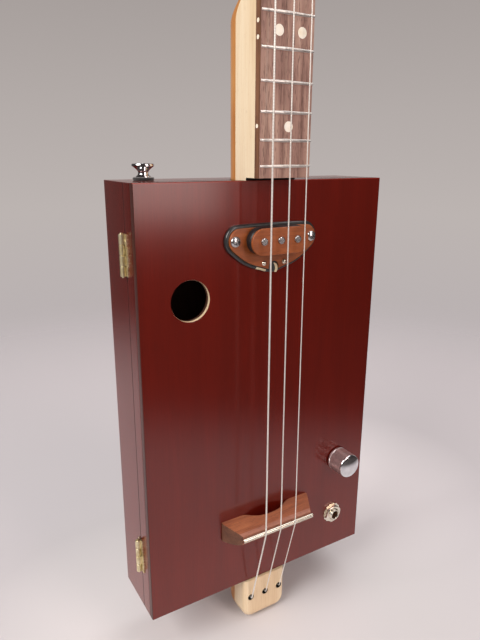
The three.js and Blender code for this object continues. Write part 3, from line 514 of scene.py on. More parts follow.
def carved(bm, tools, operation="DIFFERENCE", inside=1):
    # The cut walls take the material slot that inside names
    for face in tools.faces:
        face.material_index = inside
    base, tool = loose("carvedBase", bm), loose("carvedTool", tools)
    cut = base.modifiers.new("cut", "BOOLEAN")
    cut.operation, cut.solver, cut.object = operation, "EXACT", tool
    graph = bpy.context.evaluated_depsgraph_get()
    made = bmesh.new()
    made.from_object(base, graph)
    for thing in (base, tool):
        mesh = thing.data
        bpy.data.objects.remove(thing)
        bpy.data.meshes.remove(mesh)
    bmesh.ops.remove_doubles(made, verts=made.verts, dist=0.001)
    return made


def finishPiece(name, bm, body, materials, replaces=(), crease=35):
    facing(bm)
    bmesh.ops.scale(bm, verts=bm.verts, vec=(mm, mm, mm))
    mesh = bpy.data.meshes.new(name)
    bm.to_mesh(mesh)
    bm.free()
    mesh.shade_smooth()
    mesh.set_sharp_from_angle(angle=math.radians(crease))
    for material in materials:
        mesh.materials.append(material)
    piece = placed(name, mesh)
    even = piece.modifiers.new("evenShading", "WEIGHTED_NORMAL")
    even.keep_sharp = True
    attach(piece, body)
    if replaces:
        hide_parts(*replaces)
    return piece


# Box boards: outer edges softened by sanding, inner joints square
faceLow, faceHigh = nodeBox("soundboard")
trayLow, trayHigh = nodeBox("tray_back")
rimLow, rimHigh = nodeBox("lid_side_left")
box = {
    "half": faceHigh.x, "low": faceLow.z, "top": faceHigh.z,
    "face": faceLow.y, "lining": faceHigh.y, "seam": rimHigh.y, "back": trayHigh.y,
    "frontRadius": 0.9, "backRadius": 0.5, "cornerRadius": 0.4, "seamRadius": 1.5, "outerPly": 2.3,
    "jointRadius": 0.35, "holeEdge": 0.35, "edgeSteps": 5,
    # How deep below the outer surface each finish reaches, and how far down the front the painted edge
    # highlight reaches
    "lacquerDepth": 0.6, "grainDepth": 1.2, "jointShadeDepth": 1.5, "flush": 0.05, "highlightDrop": 0.95,
    "highlightDepth": 0.6,
}
# Material slots of a box board
boardSlot = {"lacquer": 0, "stained": 1, "sawn": 2, "edgeGrain": 3, "topGrain": 4, "joint": 5, "paintedHighlight": 6}


def depthInBox(point):
    # How far a point lies below the box's outer surface
    return min(
        box["half"] - abs(point.x), point.z - box["low"], box["top"] - point.z,
        point.y - box["face"], box["back"] - point.y,
    )


def sideDepth(point):
    return min(box["half"] - abs(point.x), point.z - box["low"], box["top"] - point.z)


def softenBoard(bm):
    def ends(edge):
        return [v.co for v in edge.verts] + [sum((v.co for v in edge.verts), Vector()) / 2]

    def isCorner(edge):
        a, b, _ = ends(edge)
        return all(near(box["half"], abs(p.x)) and sideDepth(p) < 0.02 for p in (a, b)) and all(
            near(p.z, box["low"]) or near(p.z, box["top"]) for p in (a, b)
        ) and not near(a.y, b.y)

    roundEdges(bm, isCorner, box["cornerRadius"], box["edgeSteps"])

    def along(depth):
        slack = box["cornerRadius"] * 0.35
        return lambda edge: all(near(p.y, depth) and sideDepth(p) < slack for p in ends(edge))

    roundEdges(bm, along(box["face"]), box["frontRadius"], box["edgeSteps"])
    roundEdges(bm, along(box["back"]), box["backRadius"], box["edgeSteps"])
    roundEdges(bm, along(box["seam"]), box["seamRadius"], 3)
    roundEdges(bm, along(box["lining"]), box["jointRadius"], 2)


def paintBoard(bm):
    # Lacquer outside and stain inside; the joint between lid and tray is painted shade, the soundboard's
    # edges show grain, and a band along its top front edge is a painted highlight
    bm.normal_update()
    for face in bm.faces:
        centre = face.calc_center_median()
        depth, drop = depthInBox(centre), box["top"] - centre.z
        inJoint = abs(centre.y - box["seam"]) < box["seamRadius"] * 0.95
        onEdge = box["half"] - abs(centre.x) < box["frontRadius"] * 0.8 or sideDepth(centre) < box["flush"]
        atFront = centre.y < box["face"] + box["highlightDepth"] and face.normal.z > 0.1
        finish = "lacquer" if depth < box["lacquerDepth"] and not inJoint else "stained"
        # Faces in the groove between lid and tray take the painted shade
        if depth < box["jointShadeDepth"] and inJoint:
            finish = "joint"
        elif drop < box["flush"] and centre.y < box["lining"]:
            finish = "topGrain"
        # The band just below the top front edge takes the painted highlight
        elif box["flush"] < drop < box["highlightDrop"] and atFront:
            finish = "paintedHighlight"
        elif onEdge and depth < box["grainDepth"] and centre.y < box["lining"] - box["jointRadius"]:
            finish = "edgeGrain"
        face.material_index = boardSlot[finish]


def makeBoard(name, node, body, tools=None, along="Z"):
    bm = bmesh.new()
    addBlock(bm, *nodeBox(node))
    softenBoard(facing(bm))
    paintBoard(bm)
    if tools is not None:
        bm = carved(bm, tools, inside=boardSlot["sawn"])
        # The sawn wall of a hole is pale only as deep as the outer ply; deeper in, it takes the dark stained
        # wood as painted shade inside the hole
        for face in bm.faces:
            deep = face.calc_center_median().y > box["face"] + box["outerPly"]
            if face.material_index == boardSlot["sawn"] and deep:
                face.material_index = boardSlot["stained"]
    if node == "soundboard":
        x, z = openings["soundHole"]["place"]
        radius = openings["soundHole"]["radius"]

        def onRim(edge):
            return all(
                near(v.co.y, box["face"]) and near(math.hypot(v.co.x - x, v.co.z - z), radius,
                                                   0.1) for v in edge.verts
            )

        roundEdges(facing(bm), onRim, box["holeEdge"], 2)
    finishes = [lacquerUpright, stainedUpright, rawWood, lacquerEdge, topGrain, jointShade, edgeHighlightLacquer]
    if along == "X":
        finishes[:2] = [lacquerAcross, stainedAcross]
    return finishPiece(name, bm, body, finishes, [node], crease=30)


# Holes through the soundboard, each as wide as what passes through it
openings = {
    "soundHole": {"place": (-60.0, -473.1), "radius": 13.6, "steps": 96},
    "volume": {"place": (68.6, -621.0), "radius": 4.9, "steps": 40},
    "jack": {"place": (66.3, -671.4), "radius": 4.9, "steps": 40},
    "lead": {"place": (25.0, -442.4), "radius": 1.8, "steps": 24},
    "screwLeft": {"place": (-30.0, -437.1), "radius": 1.62, "steps": 24},
    "screwRight": {"place": (30.0, -437.1), "radius": 1.62, "steps": 24},
}


def addRod(bm, radius, x, z, y0, y1, steps=32, ring=()):
    profile = [[0, y0], [radius, y0]] + [[radius, y] for y in ring] + [[radius, y1], [0, y1]]
    return turned(bm, profile, (x, 0, z), "Y", steps)


def makeBox():
    holes = bmesh.new()
    for hole in openings.values():
        ply = box["face"] + box["outerPly"]
        addRod(holes, hole["radius"], *hole["place"], box["face"] - 2, box["lining"] + 2, hole["steps"],
               [ply])
    makeBoard("face_board", "soundboard", "root", holes)
    for side in ("left", "right"):
        makeBoard(f"rim_{side}", f"lid_side_{side}", "root")
        makeBoard(f"tray_wall_{side}", f"tray_side_{side}", "tray")
        for end in ("top", "bottom"):
            makeBoard(f"rim_{end}_{side}", f"lid_end_{end}_{side}", "root", along="X")
    for end in ("top", "bottom"):
        low, high = nodeBox(f"tray_end_{end}")
        notch = bmesh.new()
        t = trayNotch
        section = stickSection(t["half"], t["front"], t["side"], t["back"], stick["shaftPower"], t["steps"])
        points = [(x, y, low.z - 2) for x, y in section]
        extruded(notch, points, (0, 0, high.z - low.z + 4))
        if end == "top":
            stem = stemHole
            turned(notch,
                   [[0, stem["low"]], [stem["radius"], stem["low"]], [stem["radius"], high.z + 2],
                    [0, high.z + 2]],
                   (stem["x"], stem["y"], 0), "Z", 24)
        makeBoard(f"tray_wall_{end}", f"tray_end_{end}", "tray", notch, "X")
    makeBoard("tray_floor", "tray_back", "tray")


# Notches in the tray's end walls, which clear the stick all round
trayNotch = {"half": 19.85, "front": 10, "side": 14.2, "back": 36.0, "steps": 64}
# Hole in the tray's top wall for the strap button's stem
stemHole = {"x": -76.0, "y": 31.0, "radius": 2.02, "low": -405.2}

# Stick: half width, and depths of front, sides and back at each height
stick = {
    "half": 19.05, "front": -9.0, "side": 14.2, "back": 35.2,
    "tailEnd": -740.4, "tailTop": -705.2, "tailFront": -1.5, "tailCorner": 8.0, "tailBackRounding": 8.0,
    "tailEdge": 4.5, "heelTop": -305.6, "heelCurve": 23.0, "shaftSide": -1.0, "shaftBack": 9.0,
    "shaftBackAtNut": 8.0, "slitTop": -397.8, "slitDepth": 1.0, "nutEnd": 5.0, "headCurve": 24.0,
    "headHalf": 27.0, "headFront": -2.0, "headBack": 12.0, "headSide": 10.5, "headTop": 137.0,
    "headNarrowing": 3.0, "headCorner": 9.0, "headEdge": 1.6, "backSteps": 48,
    "cornerSteps": 12, "curveSteps": 16, "postHole": 5.12,
    # How square the back is: the shaft half round, the head almost flat
    "shaftPower": 2, "headPower": 7,
}
stickSlot = {"maple": 0, "amber": 1, "tail": 2, "slit": 3}
stringLine = {"names": ("bass", "middle", "treble"), "bridge": (-13.2, 0.0, 13.2), "nut": (-12.8, 0.0, 12.8)}
tuners = {
    "bass": {"x": -16.5, "z": 46.0, "out": -1},
    "treble": {"x": 16.5, "z": 73.0, "out": 1},
    "middle": {"x": -16.5, "z": 100.0, "out": -1},
}


def stickSection(half, front, side, back, power, steps):
    points = [(-half, front), (half, front)]
    for k in range(steps + 1):
        turn = math.pi * k / steps
        across = math.copysign(abs(math.cos(turn)) ** (2 / power), math.cos(turn))
        deep = max(math.sin(turn), 0) ** (2 / power)
        points.append((half * across, side + (back - side) * deep))
    return points


def eased(share):
    return (1 - math.cos(math.pi * share)) / 2


def blended(a, b, share):
    return a + (b - a) * share


def arcPoints(x, z, radius, start, end, steps):
    turns = [blended(start, end, k / steps) for k in range(steps + 1)]
    return [(x + radius * math.cos(t), z + radius * math.sin(t)) for t in turns]


def stickStations():
    # Height, half width, front, side depth, back depth and squareness, from the tail to the head's top
    s = stick
    stations = []
    steps, count = s["cornerSteps"], s["curveSteps"]
    for k in range(steps + 1):
        turn = math.pi / 2 * k / steps
        half = s["half"] - s["tailCorner"] * (1 - math.sin(turn))
        back = s["back"] - s["tailBackRounding"] * (1 - math.sin(turn))
        stations.append((s["tailEnd"] + s["tailCorner"] * (1 - math.cos(turn)), half, s["front"], s["side"],
                         back, s["shaftPower"]))
    for k in range(count + 1):
        share = eased(k / count)
        side = blended(s["side"], s["shaftSide"], share)
        back = blended(s["back"], s["shaftBack"], share)
        stations.append((s["heelTop"] + s["heelCurve"] * k / count, s["half"], s["front"], side, back,
                         s["shaftPower"]))
    for k in range(count + 1):
        share = eased(k / count)
        half = blended(s["half"], s["headHalf"], share)
        front = blended(s["front"], s["headFront"], share)
        side = blended(s["shaftSide"], s["headSide"], share)
        back = blended(s["shaftBackAtNut"], s["headBack"], share)
        power = blended(s["shaftPower"], s["headPower"], share)
        stations.append((s["nutEnd"] + s["headCurve"] * k / count, half, front, side, back, power))
    for k in range(steps, -1, -1):
        turn = math.pi / 2 * k / steps
        half = s["headHalf"] - s["headNarrowing"] - s["headCorner"] * (1 - math.sin(turn))
        height = s["headTop"] - s["headCorner"] * (1 - math.cos(turn))
        stations.append((height, half, s["headFront"], s["headSide"], s["headBack"], s["headPower"]))
    return stations


def sideAt(height, stations):
    for (z0, _, _, side0, _, _), (z1, _, _, side1, _, _) in zip(stations, stations[1:]):
        if z0 <= height <= z1 and z1 > z0:
            return blended(side0, side1, (height - z0) / (z1 - z0))
    return stations[-1][3]


def ballDepth(x):
    share = math.sqrt(1 - (x / stick["half"]) ** 2)
    return stick["side"] + (stick["back"] - stick["side"]) * share - ferrule["ballDrop"]


def makeStick():
    s = stick
    bm = bmesh.new()
    stations = stickStations()
    sections = []
    for z, half, front, side, back, power in stations:
        sections.append([(x, y, z) for x, y in stickSection(half, front, side, back, power, s["backSteps"])])
    lofted(bm, sections)
    # The stick steps back for the tail's front, the soundboard and the slit above it
    steps = [
        (s["tailEnd"] - 2, s["tailTop"] + 0.01, s["tailFront"]),
        (s["tailTop"], box["top"], box["lining"]),
        (box["top"] - 0.01, s["slitTop"], box["face"] + s["slitDepth"]),
    ]
    wide = s["half"] + 2
    for low, high, depth in steps:
        step = bmesh.new()
        addBlock(step, (-wide, s["front"] - 2, low), (wide, depth, high))
        # The slit's cut walls take the black painted shadow
        bm = carved(bm, step, inside=stickSlot["slit" if high == s["slitTop"] else "maple"])
    bm.normal_update()

    def onTailFront(edge):
        points = [v.co for v in edge.verts]
        low = all(near(p.y, s["tailFront"]) and p.z < s["tailTop"] + 0.1 for p in points)
        return low and not all(near(p.z, s["tailTop"], 0.1) for p in points)

    def onHeadFront(edge):
        points = [v.co for v in edge.verts]
        if len(edge.link_faces) != 2 or any(p.z < s["nutEnd"] - 0.1 for p in points):
            return False
        fronts = [face.normal.y < -0.7 for face in edge.link_faces]
        return fronts[0] != fronts[1] and edge.calc_face_angle(0) > 0.6

    roundEdges(bm, onTailFront, s["tailEdge"], 5)
    roundEdges(bm, onHeadFront, s["headEdge"], 4)
    for face in bm.faces:
        centre = face.calc_center_median()
        # Faces on the rounded back take the darker maple as painted shade
        isBack = centre.y > sideAt(centre.z, stations) + 0.05 and abs(face.normal.z) < 0.9
        # Faces of the tail below the box take the darker maple as painted shadow
        onTail = centre.z < s["tailTop"] and centre.y < s["side"]
        if face.material_index != stickSlot["slit"]:
            face.material_index = stickSlot["amber" if isBack else ("tail" if onTail else "maple")]
    holes = bmesh.new()
    for x in stringLine["bridge"]:
        seat = s["tailFront"] + ferrule["length"]
        addRod(holes, ferrule["seatHole"], x, ferrule["z"], s["tailFront"] - 2, seat, 32)
        addRod(holes, ferrule["stringHole"], x, ferrule["z"], seat - 0.1, ballDepth(x) + 0.1, 24)
        addRod(holes, ferrule["ballHole"], x, ferrule["z"], ballDepth(x), s["back"] + 3, 32)
    for tuner in tuners.values():
        addRod(holes, s["postHole"], tuner["x"], tuner["z"], s["headFront"] - 3, s["headBack"] + 3, 40)
    for face in holes.faces:
        face.material_index = 0
    bm = carved(bm, holes, inside=0)
    finishPiece("neck_stick", bm, "root", [maple, shadedBackMaple, shadedTailMaple, slitShadow], ["neck"],
                crease=28)


ferrule = {
    "z": -720.8, "outer": 2.6, "bore": 2.0, "front": -1.5, "length": 6.0, "lip": 0.35,
    "seatHole": 2.72, "stringHole": 1.6, "ballHole": 2.4, "ballDrop": 9,
}


def makeFerrules():
    f = ferrule
    for name, x in zip(stringLine["names"], stringLine["bridge"]):
        bm = bmesh.new()
        end = f["front"] + f["length"]
        profile = [
            [f["bore"], f["front"] + f["lip"]], [f["bore"] + f["lip"] * 0.5, f["front"]],
            [f["outer"] - f["lip"] * 0.5, f["front"]], [f["outer"], f["front"] + f["lip"]],
            [f["outer"], end], [f["bore"], end],
        ]
        turned(bm, profile, (x, 0, f["z"]), "Y", 36, ring=True)
        finishPiece(f"ferrule_{name}", bm, "root", [bluedSteel], [f"tail_ferrule_{name}"])


makeBox()
print("box made")
makeStick()
makeFerrules()
print("stick made")


# Fingerboard, frets, dots and nut
board = {
    "half": 19.05, "front": -14.6, "back": -9.0, "low": -397.8, "edge": 0.5,
    "scale": 647.7, "fretWidth": 2.2, "fretHeight": 0.9, "fretInset": 0.25, "fretSteps": 12,
    "dotRadius": 3.3, "sideDotRadius": 1.25, "sideDotDepth": -11.2,
    "dots": (3, 5, 7, 9, 15), "doubleDots": (12,), "doubleSpread": 8.25, "dotShift": 1.8,
    "sideDoubleSpread": 4.4,
}


def fretHeightAt(number):
    return -board["scale"] * (1 - 2 ** (-number / 12))


def makeFingerboard():
    b = board
    bm = bmesh.new()
    addBlock(bm, (-b["half"], b["front"], b["low"]), (b["half"], b["back"], 0))
    roundEdges(facing(bm), allAt("Y", b["front"]), b["edge"], 3)
    bm.normal_update()
    for face in bm.faces:
        # The sides take the darker copy as painted shade, the face the paler copy with its painted sheen
        face.material_index = 1 if abs(face.normal.x) > 0.85 else 0
    finishPiece("fingerboard", bm, "root", [rosewood, rosewoodShadedSide], ["fretboard"])
    frets = bmesh.new()
    number = 1
    while fretHeightAt(number) - b["fretWidth"] / 2 > b["low"]:
        centre = fretHeightAt(number)
        reach = b["half"] - b["fretInset"]
        section = []
        for k in range(b["fretSteps"] + 1):
            turn = math.pi * k / b["fretSteps"]
            section.append((b["front"] + 0.05 - (b["fretHeight"] + 0.05) * math.sin(turn),
                            centre + b["fretWidth"] / 2 * math.cos(turn)))
        # The crown narrows to a filed, rounded end at each side of the board
        for x0, x1 in ((0, reach), (0, -reach)):
            points = [(x0, y, z) for y, z in section]
            made = extruded(frets, points, (x1 - x0, 0, 0))
            tips = [v for v in made if near(v.co.x, x1)]
            middle = Vector((x1, b["front"] + 0.1, centre))
            bmesh.ops.scale(frets, verts=tips, vec=(1, 0.55, 0.7), space=Matrix.Translation(-middle))
        number += 1
    finishPiece("fret_wires", frets, "root", [fretMetal], crease=50)
    dots = bmesh.new()
    spots = [(0, number) for number in b["dots"]]
    spots += [(side * b["doubleSpread"], number) for number in b["doubleDots"] for side in (-1, 1)]
    for x, number in spots:
        z = (fretHeightAt(number) + fretHeightAt(number - 1)) / 2
        rise = [[0, b["front"] - 0.04], [b["dotRadius"] - 0.3, b["front"] - 0.03],
                [b["dotRadius"], b["front"] + 0.02],
                [b["dotRadius"], b["front"] + 0.8], [0, b["front"] + 0.8]]
        turned(dots, rise, (x + b["dotShift"], 0, z), "Y", 40)
    for number in b["dots"] + b["doubleDots"]:
        z = (fretHeightAt(number) + fretHeightAt(number - 1)) / 2
        places = [z] if number in b["dots"] else [z - b["sideDoubleSpread"], z + b["sideDoubleSpread"]]
        for place in places:
            side = [[0, -b["half"] - 0.03], [b["sideDotRadius"], -b["half"]],
                    [b["sideDotRadius"], -b["half"] + 0.8],
                    [0, -b["half"] + 0.8]]
            turned(dots, side, (0, b["sideDotDepth"], place), "X", 24)
    finishPiece("position_dots", dots, "root", [dotPlastic])


def makeNut():
    bm = bmesh.new()
    low, high = nodeBox("nut")
    addBlock(bm, low, high)
    roundEdges(facing(bm), allAt("Y", low.y), strings["nutEdge"], 4)
    slots = bmesh.new()
    for x, radius in zip(stringLine["nut"], strings["radii"]):
        wide = radius + strings["slotRoom"]
        outline = [(x - wide, low.y - 1), (x + wide, low.y - 1)]
        outline += arcPoints(x, strings["nutDepth"], wide, 0, math.pi, 12)
        extruded(slots, [(u, v, low.z - 1) for u, v in outline], (0, 0, high.z - low.z + 2))
    bm = carved(bm, slots, inside=0)
    finishPiece("bone_nut", bm, "root", [bone], ["nut"])


# Strings, along the route that the solids give them
strings = {
    "radii": (0.585, 0.46, 0.36), "nutDepth": -18.5, "nutHeight": 5.12, "saddleDepth": -18.6,
    "saddleHeight": -650.6,
    "saddleRadius": 1.7, "seat": 0.06, "tailFront": -1.5, "bend": 2.0, "postRadius": 3.0, "gap": 0.3,
    "firstTurnDepth": -9.5, "turnGap": 0.5, "turns": 2.25, "steps": 48, "ballRadius": 1.9, "ballLength": 3.6,
    "nutEdge": 0.9, "slotRoom": 0.12,
}


def roundedRoute(corners, radius):
    route = [corners[0]]
    for back, here, ahead in zip(corners, corners[1:], corners[2:]):
        toBack, toAhead = (back - here).normalized(), (ahead - here).normalized()
        reach = radius / math.tan(toBack.angle(toAhead) / 2)
        start, end = here + toBack * reach, here + toAhead * reach
        for k in range(9):
            t = k / 8
            route.append(start * (1 - t) ** 2 + here * 2 * t * (1 - t) + end * t ** 2)
    return route + [corners[-1]]


def makeTube(name, points, radius, body, material, replaces=()):
    curve = bpy.data.curves.new(name, "CURVE")
    curve.dimensions = "3D"
    curve.bevel_depth = radius * mm
    curve.bevel_resolution = 3
    curve.use_fill_caps = True
    line = curve.splines.new("POLY")
    line.points.add(len(points) - 1)
    for point, place in zip(line.points, points):
        point.co = (*(place * mm), 1)
    curve.materials.append(material)
    piece = placed(name, curve)
    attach(piece, body)
    if replaces:
        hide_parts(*replaces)
    return piece


def makeStrings():
    s = strings
    for name, bridgeX, nutX, radius in zip(stringLine["names"], stringLine["bridge"], stringLine["nut"],
                                           s["radii"]):
        tuner = tuners[name]
        coil = s["postRadius"] + s["gap"] + radius
        pitch = 2 * radius + s["turnGap"]
        rest = s["saddleDepth"] - s["saddleRadius"] - radius - s["seat"]
        over = Vector((nutX, s["nutDepth"], s["nutHeight"]))
        inward = -tuner["out"]
        across, below = inward * (over.x - tuner["x"]), over.z - tuner["z"]
        first = math.atan2(below, across) + math.acos(coil / math.hypot(across, below))
        winding = []
        for k in range(round(s["turns"] * s["steps"]) + 1):
            turn = first + 2 * math.pi * k / s["steps"]
            depth = s["firstTurnDepth"] + pitch * k / s["steps"]
            winding.append(Vector((tuner["x"] + inward * coil * math.cos(turn), depth,
                                   tuner["z"] + coil * math.sin(turn))))
        leave = (winding[-1] - winding[-2]).normalized()
        winding.append(winding[-1] + leave * 2 * radius)
        corners = [
            Vector((bridgeX, ballDepth(bridgeX) + s["ballLength"] / 2, ferrule["z"])),
            Vector((bridgeX, s["tailFront"] - 2 * radius, ferrule["z"])),
            Vector((bridgeX, rest, s["saddleHeight"])),
            over,
            winding[0],
        ]
        route = roundedRoute(corners, s["bend"]) + winding[1:]
        metal = plainString if name == "treble" else woundString
        makeTube(f"{name}_string", route, radius, "root", metal, [f"string_{name}"])
        bm = bmesh.new()
        deep, r = ballDepth(bridgeX), s["ballRadius"]
        profile = [
            [radius, deep + 0.3], [r * 0.75, deep + 0.3], [r, deep + 0.8], [r * 0.78, deep + 1.4],
            [r * 0.78, deep + s["ballLength"] - 1.1], [r, deep + s["ballLength"] - 0.5],
            [r * 0.75, deep + s["ballLength"]], [radius, deep + s["ballLength"]],
        ]
        turned(bm, profile, (bridgeX, 0, ferrule["z"]), "Y", 28, ring=True)
        finishPiece(f"{name}_ball_end", bm, "root", [brass])


makeFingerboard()
makeNut()
makeStrings()
print("fingerboard and strings made")

# Bridge: two feet, an arch towards the face, sloping ends, and a rod let into its front
bridge = {
    "half": 38.5, "topHalf": 30.5, "height": 17.2, "baseLow": -658.8, "baseHigh": -643.8,
    "landLow": -655.0, "landHigh": -648.2, "edge": 0.7, "archHalf": 23.0, "archHeight": 6.0, "archSteps": 32,
    "rodHalf": 31.0, "rodChamfer": 0.4, "highlightBandDepth": 2.9, "highlightBandHeight": -647.15,
}


def bezier(points, t):
    while len(points) > 1:
        points = [a.lerp(b, t) for a, b in zip(points, points[1:])]
    return points[0]


def makeBridge():
    b = bridge
    s = strings
    bm = bmesh.new()
    top = -b["height"]
    # Back slope, land under the strings, and a front that curls round below the rod
    section = [(0.0, b["baseLow"]), (0.0, b["baseHigh"]), (top + b["highlightBandDepth"], b["highlightBandHeight"])]
    section += [(top + 1.6, b["landHigh"] + 0.6), (top, b["landHigh"]), (top, b["landLow"] + 1.0)]
    curl = [Vector((top + 0.4, b["landLow"])), Vector((top + 5, b["landLow"] - 3.2)),
            Vector((-5, b["baseLow"] - 0.2)),
            Vector((0, b["baseLow"]))]
    section += [tuple(bezier(curl, k / 10)) for k in range(10)]
    extruded(bm, [(-b["half"], y, z) for y, z in section], (2 * b["half"], 0, 0))
    facing(bm)
    for side in (-1, 1):
        low, high = Vector((side * b["half"], -1.6, 0)), Vector((side * b["topHalf"], top, 0))
        slope = high - low
        normal = Vector((-slope.y, slope.x, 0)) * side
        geometry = bm.verts[:] + bm.edges[:] + bm.faces[:]
        cut = bmesh.ops.bisect_plane(bm, geom=geometry, plane_co=low, plane_no=normal, clear_outer=True)
        edges = [e for e in cut["geom_cut"] if isinstance(e, bmesh.types.BMEdge)]
        bmesh.ops.holes_fill(bm, edges=edges)
    arch = bmesh.new()
    left = [Vector((-b["archHalf"], 0)), Vector((-b["archHalf"] * 0.62, 0)),
            Vector((-b["archHalf"] * 0.66, -b["archHeight"])),
            Vector((0, -b["archHeight"]))]
    curve = [bezier(left, k / b["archSteps"]) for k in range(b["archSteps"] + 1)]
    curve += [Vector((-p.x, p.y)) for p in reversed(curve[:-1])]
    outline = [(-b["archHalf"], 2.0)] + [(p.x, p.y) for p in curve] + [(b["archHalf"], 2.0)]
    extruded(arch, [(x, y, b["baseLow"] - 3) for x, y in outline], (0, 0, b["baseHigh"] - b["baseLow"] + 6))
    bm = carved(bm, arch, inside=0)
    facing(bm)
    bmesh.ops.dissolve_limit(bm, angle_limit=0.01, verts=bm.verts, edges=bm.edges)
    bm.normal_update()
    roundEdges(
        bm,
        lambda edge: len(edge.link_faces) == 2 and edge.calc_face_angle(0) > 0.6
        and not all(near(v.co.y, 0) for v in edge.verts),
        b["edge"], 3,
    )
    groove = bmesh.new()
    reach = b["half"] + 2
    wide = s["saddleRadius"] + s["seat"]
    turned(groove, [[0, -reach], [wide, -reach], [wide, reach], [0, reach]],
           (0, s["saddleDepth"], s["saddleHeight"]), "X", 40)
    bm = carved(bm, groove, inside=0)
    # The sloping ends show darker end grain
    bm.normal_update()
    for face in bm.faces:
        centre = face.calc_center_median()
        onEnd = abs(face.normal.x) > 0.6 and abs(centre.x) > b["archHalf"] + 5
        # The front of the slope, above the rod, takes the paler painted highlight
        worn = centre.z > s["saddleHeight"] and centre.y < top + b["highlightBandDepth"] and not onEnd
        face.material_index = 1 if onEnd else (2 if worn else 0)
    finishPiece("walnut_bridge", bm, "root", [bridgeWood, bridgeEnd, bridgeHighlight], ["bridge"],
                crease=32)
    rod = bmesh.new()
    reach, r, c = b["rodHalf"], s["saddleRadius"], b["rodChamfer"]
    profile = [[0, -reach], [r - c, -reach], [r, -reach + c], [r, reach - c], [r - c, reach], [0, reach]]
    turned(rod, profile, (0, s["saddleDepth"], s["saddleHeight"]), "X", 32)
    finishPiece("saddle_bar", rod, "root", [rodMetal], ["saddle_rod"])


# Pickup: base and bottom plate of one outline, taped coil, top plate, poles, screws and eyelets
pickup = {
    "z": -437.1, "endRadius": 10.6, "endOffset": 25.6, "tipRadius": 20.0, "tipDrop": 22.6, "arcSteps": 20,
    "baseFront": -2.9, "plateFront": -4.5, "coilFront": -11.0, "topFront": -12.6, "plateInset": 2.2,
    "topLength": 44.2, "topWidth": 17.7, "coilLength": 44.9, "coilWidth": 18.0, "plateEdge": 0.45,
    "baseEdge": 1.5, "swell": 1.9, "smoothing": 3,
    "topShift": -0.5, "notchWidth": 8.4, "notchDepth": 8.0,
    "poleX": (-13.15, 0.0, 13.15), "poleRadius": 2.4, "poleProud": 1.0, "poleChamfer": 0.55,
    "screwX": (-30.0, 30.0), "screwHead": 3.5, "screwHeadHeight": 2.2, "screwShank": 1.5, "screwLength": 9.0,
    "crossWidth": 0.95, "crossLength": 3.4, "crossDepth": 1.3, "eyeletX": (-8.05, 8.05), "eyeletZ": -452.7,
    "eyeletRadius": 1.85, "eyeletRise": 1.7, "cream": (-13.5, -5.0), "creamSkin": 0.04,
}


def pickupOutline(inset):
    p = pickup
    end, tip = p["endRadius"] - inset, p["tipRadius"] - inset
    tipZ = p["tipRadius"] - p["tipDrop"]
    lean = math.atan2(tipZ, p["endOffset"]) - math.acos((end - tip) / math.hypot(p["endOffset"], tipZ))
    left = arcPoints(-p["endOffset"], p["z"], end, math.pi / 2, lean + 2 * math.pi, p["arcSteps"])
    low = arcPoints(0, p["z"] + tipZ, tip, lean + 2 * math.pi, math.pi - lean, p["arcSteps"])
    right = arcPoints(p["endOffset"], p["z"], end, math.pi - lean, 5 * math.pi / 2, p["arcSteps"])

    def swelling(start, finish):
        # The long lower sides swell outwards
        start, finish = Vector(start), Vector(finish)
        outward = Vector((finish.y - start.y, start.x - finish.x)).normalized()
        outward *= -1 if outward.y > 0 else 1
        bulge = [4 * p["swell"] * k / 12 * (1 - k / 12) for k in range(1, 12)]
        return [tuple(start.lerp(finish, k / 12) + outward * bulge[k - 1]) for k in range(1, 12)]

    points = left + swelling(left[-1], low[0]) + low + swelling(low[-1], right[0]) + right
    points = [q for k, q in enumerate(points) if k == 0 or (Vector(q) - Vector(points[k - 1])).length > 0.01]
    for _ in range(p["smoothing"]):
        count = len(points)
        here = [Vector(point) for point in points]
        points = [tuple((here[k - 1] + 2 * here[k] + here[(k + 1) % count]) / 4) for k in range(count)]
    return points


def stadium(length, width, z, steps=20):
    radius = width / 2
    points = arcPoints(-length / 2 + radius, z, radius, math.pi / 2, 3 * math.pi / 2, steps)
    return points + arcPoints(length / 2 - radius, z, radius, -math.pi / 2, math.pi / 2, steps)


def plateFrom(points, front, back, edge, segments=3):
    bm = bmesh.new()
    extruded(bm, [(x, back, z) for x, z in points], (0, front - back, 0))
    bmesh.ops.remove_doubles(bm, verts=bm.verts, dist=0.001)
    if edge:
        roundEdges(facing(bm), allAt("Y", front), edge, segments)
    return bm


